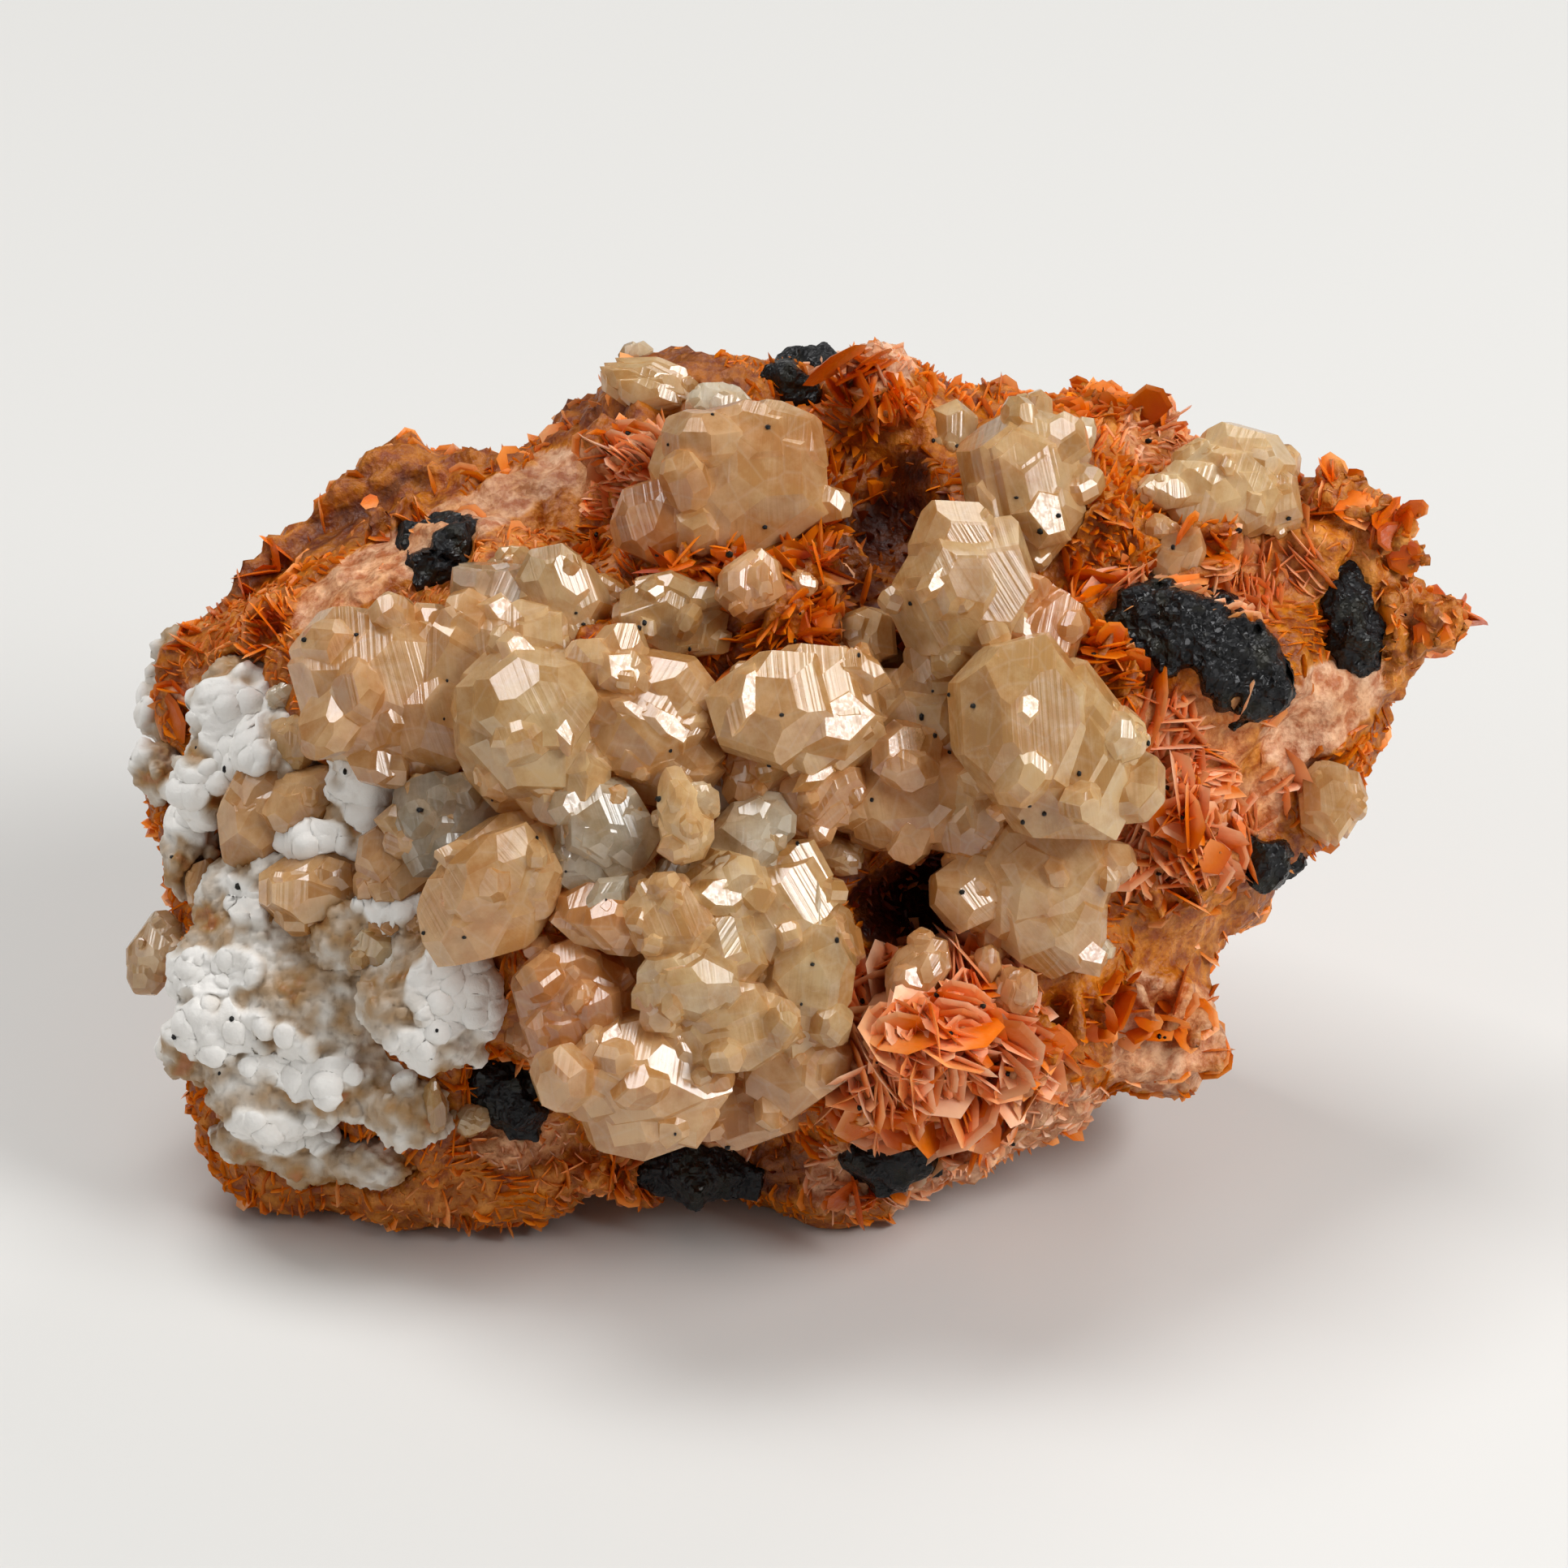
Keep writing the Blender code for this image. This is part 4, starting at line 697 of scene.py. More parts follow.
@dataclass(frozen=True)
class CerussiteFinish:
    """Cerussite: a heavy, very glossy crystal, honey-tinted and cloudy inside."""

    cloud_mm: float = 1.6
    drift_mm: float = 3.0
    pit_mm: float = 0.3
    line_mm: float = 0.3
    step_mm: float = 0.8
    crack_mm: float = 2.2
    roughness: float = 0.2
    glint_roughness: float = 0.16
    ior: float = 1.8
    subsurface: float = 0.85
    clearness: float = 0.37
    tint: tuple[float, float, float, float] = (0.96, 0.8, 0.48, 1.0)
    absorption: float = 210.0

    def material(self) -> bpy.types.Material:
        """Makes the material. Light sinks deep and comes out honey-coloured, and flat faces flash."""
        made = bpy.data.materials.new("honey_cerussite_growth_faces")
        made.use_nodes = True
        tree = made.node_tree
        tree.nodes.clear()
        tone = add_node(tree, "ShaderNodeAttribute", {"attribute_name": "tone"})
        clear = add_node(tree, "ShaderNodeAttribute", {"attribute_name": "clear"})
        polish = add_node(tree, "ShaderNodeAttribute", {"attribute_name": "polish"})
        facet = add_node(tree, "ShaderNodeAttribute", {"attribute_name": "facet"})
        growth = add_node(tree, "ShaderNodeAttribute", {"attribute_name": "growth"})
        place = add_node(tree, "ShaderNodeTexCoord")
        cloud = add_node(
            tree, "ShaderNodeTexNoise", {"Scale": 1 / (self.cloud_mm * MM), "Detail": 5.0, "Roughness": 0.65},
            {"Vector": place.outputs["Object"]},
        )
        pits = add_node(
            tree, "ShaderNodeTexNoise", {"Scale": 1 / (self.pit_mm * MM), "Detail": 4.0, "Roughness": 0.7},
            {"Vector": place.outputs["Object"]},
        )
        along = add_node(
            tree, "ShaderNodeVectorMath", {"operation": "DOT_PRODUCT"},
            {0: place.outputs["Object"], 1: growth.outputs["Vector"]},
        )
        lines = add_node(
            tree, "ShaderNodeTexNoise", {"noise_dimensions": "1D", "Scale": 1 / self.line_mm, "Detail": 2.0},
            {"W": along.outputs["Value"]},
        )
        faced = add_node(
            tree, "ShaderNodeMath", {"operation": "MULTIPLY_ADD", 1: 0.34, 2: -0.17}, {0: facet.outputs["Fac"]},
        )
        amount = add_node(
            tree, "ShaderNodeMath", {"operation": "ADD"}, {0: cloud.outputs["Fac"], 1: faced.outputs["Value"]},
        )
        drift = add_node(
            tree, "ShaderNodeTexNoise", {"Scale": 1 / (self.drift_mm * MM), "Detail": 2.0},
            {"Vector": place.outputs["Object"]},
        )
        drifted = add_node(
            tree, "ShaderNodeMath", {"operation": "MULTIPLY_ADD", 1: 0.5, 2: -0.25}, {0: drift.outputs["Fac"]},
        )
        toned = add_node(
            tree, "ShaderNodeMath", {"operation": "ADD", "use_clamp": True},
            {0: tone.outputs["Fac"], 1: drifted.outputs["Value"]},
        )
        deep = add_node(
            tree, "ShaderNodeValToRGB",
            {"stops": [(0.0, "#bcae90"), (0.35, "#cc9a58"), (0.65, "#c88a4a"), (1.0, "#c06c28")]},
            {"Fac": toned.outputs["Value"]},
        )
        pale = add_node(
            tree, "ShaderNodeValToRGB",
            {"stops": [(0.0, "#eae1ce"), (0.35, "#efcb92"), (0.65, "#e9b67e"), (1.0, "#e09a5c")]},
            {"Fac": toned.outputs["Value"]},
        )
        veil = add_node(
            tree, "ShaderNodeMapRange", {"From Min": 0.32, "From Max": 0.68}, {"Value": amount.outputs["Value"]},
        )
        colour = add_node(
            tree, "ShaderNodeMix", {"data_type": "RGBA"},
            {0: veil.outputs["Result"], 6: deep.outputs["Color"], 7: pale.outputs["Color"]},
        )
        gloss = add_node(
            tree, "ShaderNodeMapRange",
            {"From Min": 0.35, "From Max": 0.65, "To Min": self.roughness - 0.04, "To Max": self.roughness + 0.06},
            {"Value": cloud.outputs["Fac"]},
        )
        flash = add_node(
            tree, "ShaderNodeMapRange",
            {"From Min": 0.4, "From Max": 0.65, "To Min": self.glint_roughness, "To Max": self.glint_roughness + 0.3},
            {"Value": pits.outputs["Fac"]},
        )
        shine = add_node(
            tree, "ShaderNodeMix", {"data_type": "FLOAT"},
            {0: polish.outputs["Fac"], 2: gloss.outputs["Result"], 3: flash.outputs["Result"]},
        )
        through = add_node(
            tree, "ShaderNodeMath", {"operation": "MULTIPLY_ADD", 1: 0.35, 2: self.clearness, "use_clamp": True},
            {0: clear.outputs["Fac"]},
        )
        cracks = add_node(
            tree, "ShaderNodeTexVoronoi", {"Scale": 1 / (self.crack_mm * MM), "feature": "DISTANCE_TO_EDGE"},
            {"Vector": place.outputs["Object"]},
        )
        crack = add_node(
            tree, "ShaderNodeMapRange", {"From Min": 0.0, "From Max": 0.05, "To Min": 0.12, "To Max": 0.0},
            {"Value": cracks.outputs["Distance"]},
        )
        veined = add_node(
            tree, "ShaderNodeMix", {"data_type": "RGBA", 7: linear_colour("#f2e2c8")},
            {0: crack.outputs["Result"], 6: colour.outputs[2]},
        )
        cells = add_node(
            tree, "ShaderNodeTexVoronoi", {"Scale": 1 / (self.step_mm * MM), "distance": "CHEBYCHEV"},
            {"Vector": place.outputs["Object"]},
        )
        terraced = add_node(
            tree, "ShaderNodeBump", {"Strength": 0.5, "Distance": 0.06 * MM},
            {"Height": cells.outputs["Color"]},
        )
        stepped = add_node(
            tree, "ShaderNodeBump", {"Strength": 0.5, "Distance": 0.06 * MM},
            {"Height": lines.outputs["Fac"], "Normal": terraced.outputs["Normal"]},
        )
        skin = add_node(
            tree, "ShaderNodeBsdfPrincipled",
            {"subsurface_method": "BURLEY", "IOR": self.ior, "Subsurface Weight": self.subsurface,
             "Subsurface Radius": (1.0, 0.8, 0.6), "Subsurface Scale": 0.7 * MM},
            {"Base Color": veined.outputs[2], "Roughness": shine.outputs[0],
             "Transmission Weight": through.outputs["Value"], "Normal": stepped.outputs["Normal"]},
        )
        inside = add_node(tree, "ShaderNodeVolumeAbsorption", {"Color": self.tint, "Density": self.absorption})
        add_node(
            tree, "ShaderNodeOutputMaterial",
            links={"Surface": skin.outputs["BSDF"], "Volume": inside.outputs["Volume"]},
        )
        return made


@dataclass(frozen=True)
class CrustFinish:
    """The white crust: powdery and matt on its lobes, greyer and granular where it thins out."""

    grain_mm: float = 0.25
    patch_mm: float = 2.0
    roughness: float = 0.7
    ior: float = 1.55

    def material(self) -> bpy.types.Material:
        """Makes the material. It gives a soft snowy white with a fine grain."""
        made = bpy.data.materials.new("powdery_white_crust")
        made.use_nodes = True
        tree = made.node_tree
        tree.nodes.clear()
        grey = add_node(tree, "ShaderNodeAttribute", {"attribute_name": "grey"})
        place = add_node(tree, "ShaderNodeTexCoord")
        patch = add_node(
            tree, "ShaderNodeTexNoise", {"Scale": 1 / (self.patch_mm * MM), "Detail": 4.0},
            {"Vector": place.outputs["Object"]},
        )
        grain = add_node(
            tree, "ShaderNodeTexNoise", {"Scale": 1 / (self.grain_mm * MM), "Detail": 4.0, "Roughness": 0.7},
            {"Vector": place.outputs["Object"]},
        )
        spread = add_node(
            tree, "ShaderNodeMath", {"operation": "MULTIPLY_ADD", 1: 0.4, 2: -0.2}, {0: patch.outputs["Fac"]},
        )
        amount = add_node(
            tree, "ShaderNodeMath", {"operation": "ADD", "use_clamp": True},
            {0: grey.outputs["Fac"], 1: spread.outputs["Value"]},
        )
        colour = add_node(
            tree, "ShaderNodeValToRGB",
            {"stops": [(0.0, "#f2efea"), (0.3, "#d9d0c4"), (0.55, "#b9a288"), (0.8, "#a8804e"), (1.0, "#a9652c")]},
            {"Fac": amount.outputs["Value"]},
        )
        gloss = add_node(
            tree, "ShaderNodeMapRange", {"To Min": self.roughness, "To Max": 0.3}, {"Value": amount.outputs["Value"]},
        )
        bump = add_node(
            tree, "ShaderNodeBump", {"Strength": 0.6, "Distance": 0.08 * MM}, {"Height": grain.outputs["Fac"]},
        )
        skin = add_node(
            tree, "ShaderNodeBsdfPrincipled",
            {"IOR": self.ior},
            {"Base Color": colour.outputs["Color"], "Roughness": gloss.outputs["Result"],
             "Normal": bump.outputs["Normal"]},
        )
        add_node(tree, "ShaderNodeOutputMaterial", links={"Surface": skin.outputs["BSDF"]})
        return made


@dataclass(frozen=True)
class GalenaFinish:
    """Galena and the black specks: a dark metallic sulfide, granular and tarnished."""

    grain_mm: float = 0.45
    tarnish_mm: float = 1.6

    def material(self) -> bpy.types.Material:
        """Makes the material. Small cleavage faces catch the light in a nearly black mass."""
        made = bpy.data.materials.new("tarnished_granular_galena")
        made.use_nodes = True
        tree = made.node_tree
        tree.nodes.clear()
        place = add_node(tree, "ShaderNodeTexCoord")
        tarnish = add_node(
            tree, "ShaderNodeTexNoise", {"Scale": 1 / (self.tarnish_mm * MM), "Detail": 5.0},
            {"Vector": place.outputs["Object"]},
        )
        grains = add_node(
            tree, "ShaderNodeTexVoronoi", {"Scale": 1 / (self.grain_mm * MM), "distance": "CHEBYCHEV"},
            {"Vector": place.outputs["Object"]},
        )
        colour = add_node(
            tree, "ShaderNodeValToRGB",
            {"stops": [(0.3, "#0b0b0c"), (0.5, "#19191b"), (0.62, "#201e16"), (0.75, "#0e0e0c")]},
            {"Fac": tarnish.outputs["Fac"]},
        )
        gloss = add_node(
            tree, "ShaderNodeMapRange", {"To Min": 0.22, "To Max": 0.6}, {"Value": grains.outputs["Color"]},
        )
        bump = add_node(
            tree, "ShaderNodeBump", {"Strength": 0.9, "Distance": 0.2 * MM}, {"Height": grains.outputs["Distance"]},
        )
        skin = add_node(
            tree, "ShaderNodeBsdfPrincipled", {"Metallic": 0.5},
            {"Base Color": colour.outputs["Color"], "Roughness": gloss.outputs["Result"],
             "Normal": bump.outputs["Normal"]},
        )
        add_node(tree, "ShaderNodeOutputMaterial", links={"Surface": skin.outputs["BSDF"]})
        return made


@dataclass(frozen=True)
class FloorFinish:
    """Matt painted board, plain and pale."""

    colour: str = "#d9d8d5"
    roughness: float = 0.7

    def material(self) -> bpy.types.Material:
        """Makes the material. It gives an even pale ground that only takes the shadow."""
        made = bpy.data.materials.new("matt_painted_board")
        made.use_nodes = True
        tree = made.node_tree
        tree.nodes.clear()
        skin = add_node(
            tree, "ShaderNodeBsdfPrincipled",
            {"Base Color": linear_colour(self.colour), "Roughness": self.roughness},
        )
        add_node(tree, "ShaderNodeOutputMaterial", links={"Surface": skin.outputs["BSDF"]})
        return made


@dataclass
class BariteGround:
    """The barite mass itself, which carries everything else."""

    node: str = "barite_matrix"
    voxel_mm: float = 0.42
    lump_mm: float = 2.0
    lump_rise_mm: float = 0.55
    knob_size_mm: float = 0.95
    knob_rise_mm: float = 0.2
    chip_mm: float = 0.7
    chip_rise_mm: float = 0.16
    smoothing: int = 3
    fill_mm: float = 0.9
    finish: GroundFinish = field(default_factory=GroundFinish)

    def build(self) -> Piece:
        """Builds the mass: filled below the galena, remeshed, roughened and coloured by zone.

        Returns:
            The finished piece.
        """
        filling = merged_nodes(nodes_starting("galena"))
        bmesh.ops.translate(filling, vec=-PLANE.eye * self.fill_mm * MM, verts=filling.verts)
        spare = bpy.data.meshes.new("filling")
        filling.to_mesh(spare)
        filling.free()
        whole = merged_nodes([self.node])
        whole.from_mesh(spare)
        bpy.data.meshes.remove(spare)
        piece = Piece("barite_mass", whole)
        piece.modify("REMESH", mode="VOXEL", voxel_size=self.voxel_mm * MM)
        piece.modify("SMOOTH", factor=0.5, iterations=self.smoothing)
        self._roughen(piece.mesh)
        self._colour(piece.mesh)
        piece.finish(self.finish.material(), "barite", [self.node])
        return piece

    def _roughen(self, mesh: bpy.types.Mesh) -> None:
        """Raises lumps and chips over the mass, except where it rests."""
        points, outward = positions(mesh), directions(mesh)
        lumps = np.array([noise.voronoi(Vector(p) / (self.lump_mm * MM))[0][0] for p in points])
        chips = smooth_noise(points, self.chip_mm, 3)
        lumpiness = ZONE_MAP.values("lumpiness", ZONE_MAP.indexes(points, outward))
        rise = (0.45 - lumps) * 2 * self.lump_rise_mm * lumpiness
        knobs = np.array([noise.voronoi(Vector(p) / (self.knob_size_mm * MM))[0][0] for p in points])
        rise += (0.45 - knobs) * 2 * self.knob_rise_mm * lumpiness + chips * self.chip_rise_mm * (1.0 + lumpiness)
        resting = points[:, 2] < 0.3 * MM
        rise[resting] = 0.0
        move_points(mesh, points + outward * rise[:, None] * MM)

    def _colour(self, mesh: bpy.types.Mesh) -> None:
        """Writes the tone of the zones, whose darkest values in hollows, recesses and gaps are painted shade, and a
        light or dark shade at random at every point.
        """
        points, outward = positions(mesh), directions(mesh)
        tones = ZONE_MAP.values("tone", ZONE_MAP.indexes(points, outward))
        tones += smooth_noise(points, 4.0, 5) * 0.12
        shade = 0.95 + smooth_noise(points, 2.0, 7) * 0.3
        write_attribute(mesh, "tone", np.clip(tones, 0.0, 1.0))
        write_attribute(mesh, "shade", np.clip(shade, 0.5, 1.4))


@dataclass
class BladeField:
    """Thousands of thin barite blades that grew outwards in sheaves over the mass."""

    ground: Piece
    kept_clear: list[BVHTree]
    grown_around: list[BVHTree]
    finish: BladeFinish = field(default_factory=BladeFinish)
    seed: int = 41
    candidates: int = 150000
    sheaf_spacing_mm: float = 3.4
    sheaf_root_mm: float = 2.4
    clearance_mm: float = 0.2
    overlap_mm: float = 0.7
    edge_on: float = 0.7
    shrink_facing: float = 0.35
    forms: int = 5
    sides: int = 8
    floor_clearance_mm: float = 0.6

    def _blade(self, form: BladeForm, rng: np.random.Generator) -> bpy.types.Mesh:
        """Makes one blade of size 1 that stands on end, its face along Y.

        Args:
            form: The habit.
            rng: The source of chance.

        Returns:
            A mesh with the attribute tip, 0 at the root and 1 along the rim.
        """
        bm = bmesh.new()
        bmesh.ops.create_cone(
            bm, cap_ends=True, cap_tris=False, segments=self.sides, radius1=1.0, radius2=0.8, depth=1.0
        )
        bmesh.ops.rotate(bm, cent=(0, 0, 0), matrix=Matrix.Rotation(math.pi / 2, 3, "X"), verts=bm.verts)
        wave = rng.uniform(0.7, 1.12, self.sides)
        tip = bm.verts.layers.float.new("tip")
        for vert in bm.verts:
            radius = math.hypot(vert.co.x, vert.co.z)
            side = int(round(math.atan2(vert.co.z, vert.co.x) / (2 * math.pi) * self.sides)) % self.sides
            vert.co.x *= wave[side]
            vert.co.z *= wave[side]
            # tip feeds the painted rim glow and root shade of the blade colour
            rise = max(0.0, min(1.0, (vert.co.z + 0.35) / 1.2))
            vert[tip] = rise * (1.0 if radius > 0.9 else 0.55)
            if form is BladeForm.LANCE:
                vert.co.x *= 0.36 * (1.15 - 0.75 * max(0.0, vert.co.z))
                vert.co.z *= 1.25
            elif form is BladeForm.CHIP:
                vert.co.x *= 0.9
                vert.co.z *= 0.75
        mesh = bpy.data.meshes.new(form.value)
        bm.to_mesh(mesh)
        bm.free()
        return mesh

    def _covered(self, point: Vector, tree: BVHTree, clearance_mm: float) -> bool:
        """Says whether a point lies inside a closed surface, or nearer to it than the clearance.

        Args:
            point: The point.
            tree: The surface.
            clearance_mm: How near outside still counts; below zero, how deep inside is still free.

        Returns:
            Whether it does.
        """
        nearest, outward, _, distance = tree.find_nearest(point)
        side = 1.0 if (point - nearest).dot(outward) > 0 else -1.0
        return side * distance < clearance_mm * MM

    def _free(self, points: np.ndarray) -> np.ndarray:
        """Says which points lie clear of the crystals and the crust, and not far under the galena."""
        free = np.ones(len(points), bool)
        for i, row in enumerate(points):
            point = Vector(row)
            free[i] = not (
                any(self._covered(point, tree, self.clearance_mm) for tree in self.kept_clear)
                or any(self._covered(point, tree, -self.overlap_mm) for tree in self.grown_around)
            )
        return free

    def _sheaves(self, points: np.ndarray, normals: np.ndarray, rng: np.random.Generator) -> tuple:
        """Picks the middles of the sheaves and the direction across each.

        Args:
            points: Points all over the mass.
            normals: The outward directions there.
            rng: The source of chance.

        Returns:
            A search tree of the middles, their roots and their directions.
        """
        kept = spaced(points, np.full(len(points), self.sheaf_spacing_mm))
        tree = KDTree(len(kept))
        roots, across = [], []
        for place, i in enumerate(kept):
            tree.insert(Vector(points[i]), place)
            outward = Vector(normals[i])
            depth = self.sheaf_root_mm * rng.uniform(0.8, 1.6) * MM
            roots.append(Vector(points[i]) - outward * depth)
            across.append(outward.orthogonal().normalized())
            across[-1].rotate(Matrix.Rotation(rng.uniform(0, math.tau), 3, outward))
        tree.balance()
        return tree, roots, across

    def build(self) -> list[Piece]:
        """Builds the blades as a front, a right and a back piece.

        Returns:
            The finished pieces.
        """
        rng = np.random.default_rng(self.seed)
        points, normals = scattered(self.ground.mesh, self.candidates, rng)
        chosen = ZONE_MAP.indexes(points, normals)
        zones = ZONE_MAP.all
        spacing = np.array([z.spacing for z in zones])[chosen]
        kept = np.array(spaced(points, spacing))
        kept = kept[points[kept, 2] > self.floor_clearance_mm * MM]
        kept = kept[self._free(points[kept])]
        sheaf_tree, roots, across = self._sheaves(points, normals, rng)
        blades = {form: [self._blade(form, rng) for _ in range(self.forms)] for form in BladeForm}
        bare = np.array([z.form is BladeForm.NONE for z in zones])[chosen]
        kept = kept[~bare[kept]]
        material = self.finish.material()
        groups = {"front": [], "right": [], "back": []}
        places = PLANE.places(points)
        for i in kept:
            back = chosen[i] == len(zones) - 1
            groups["back" if back else "right" if places[i, 0] > 5.0 else "front"].append(i)
        pieces = []
        for name, members in groups.items():
            bm = bmesh.new()
            tones, shades = [], []
            for i in members:
                zone = zones[chosen[i]]
                matrix = self._stand(points[i], normals[i], zone, sheaf_tree, roots, across, rng)
                mesh = blades[zone.form][rng.integers(self.forms)].copy()
                mesh.transform(matrix)
                tone = min(1.0, max(0.0, zone.tone + rng.normal(0, 0.07)))
                shade = rng.uniform(0.78, 1.12)
                if self._inside(mesh):
                    bm.from_mesh(mesh)
                    tones.append(tone)
                    shades.append(shade)
                bpy.data.meshes.remove(mesh)
            piece = Piece(f"barite_blades_{name}", bm)
            corners = 2 * self.sides
            write_attribute(piece.mesh, "tone", np.repeat(tones, corners))
            write_attribute(piece.mesh, "shade", np.repeat(shades, corners))
            piece.finish(material, "barite", smooth=False)
            pieces.append(piece)
        return pieces

    def _inside(self, mesh: bpy.types.Mesh) -> bool:
        """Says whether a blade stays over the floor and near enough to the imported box."""
        rows = positions(mesh)
        share = 0.022
        spare = (CAD_HIGH - CAD_LOW) * share
        low, high = np.array(CAD_LOW - spare), np.array(CAD_HIGH + spare)
        low[2] = 0.0
        return bool((rows.min(axis=0) >= low).all() and (rows.max(axis=0) <= high).all())

    def _stand(
        self, point: np.ndarray, normal: np.ndarray, zone: Zone, sheaf_tree: KDTree, roots: list[Vector],
        across: list[Vector], rng: np.random.Generator,
    ) -> Matrix:
        """Works out how one blade stands in its sheaf.

        Args:
            point: Where it breaks through the mass.
            normal: The outward direction there.
            zone: The zone that sets its size.
            sheaf_tree: The search tree of the sheaves' middles.
            roots: Where the blades of each sheaf start.
            across: The direction in which each sheaf is stacked.
            rng: The source of chance.

        Returns:
            The matrix that puts a blade of size 1 in its place.
        """
        here, outward = Vector(point), Vector(normal)
        sheaf = sheaf_tree.find(here)[1]
        spine = (here - roots[sheaf]).normalized() * 0.55 + outward * 0.55
        spine += Vector(rng.normal(0, 0.1, 3))
        spine.normalize()
        face = across[sheaf] - PLANE.eye * across[sheaf].dot(PLANE.eye) * self.edge_on
        face -= spine * face.dot(spine)
        turn = rng.normal(0, 0.14)
        if rng.random() < zone.crossing:
            turn += rng.uniform(0.7, 2.4)
        face.normalize()
        face.rotate(Matrix.Rotation(turn, 3, spine))
        wide = face.cross(spine).normalized()
        radius = zone.radius * float(np.clip(rng.lognormal(-0.08, 0.28), 0.5, 1.55))
        radius *= 1.0 - self.shrink_facing * abs(face.dot(PLANE.eye))
        thickness = 0.06 + 0.035 * radius
        turned = Matrix((wide, face, spine)).transposed().to_4x4()
        sized = Matrix.Diagonal((radius * MM, thickness * MM, radius * MM, 1.0))
        top = zone.proud * radius * rng.uniform(0.75, 1.25)
        height = radius * (1.25 if zone.form is BladeForm.LANCE else 0.75 if zone.form is BladeForm.CHIP else 1.0)
        centre = here + spine * (top - height) * MM
        return Matrix.Translation(centre) @ turned @ sized


@dataclass(frozen=True)
class Crystal(Patch):
    """One cerussite crystal.

    depth is a share of its mean width, tone runs from 0, grey, to 1, orange-tan, clear says how clear it is
    and buds how many small crystals sit on it.
    """

    depth: float = 0.8
    tone: float = 0.45
    clear: float = 0.1
    buds: int = 2


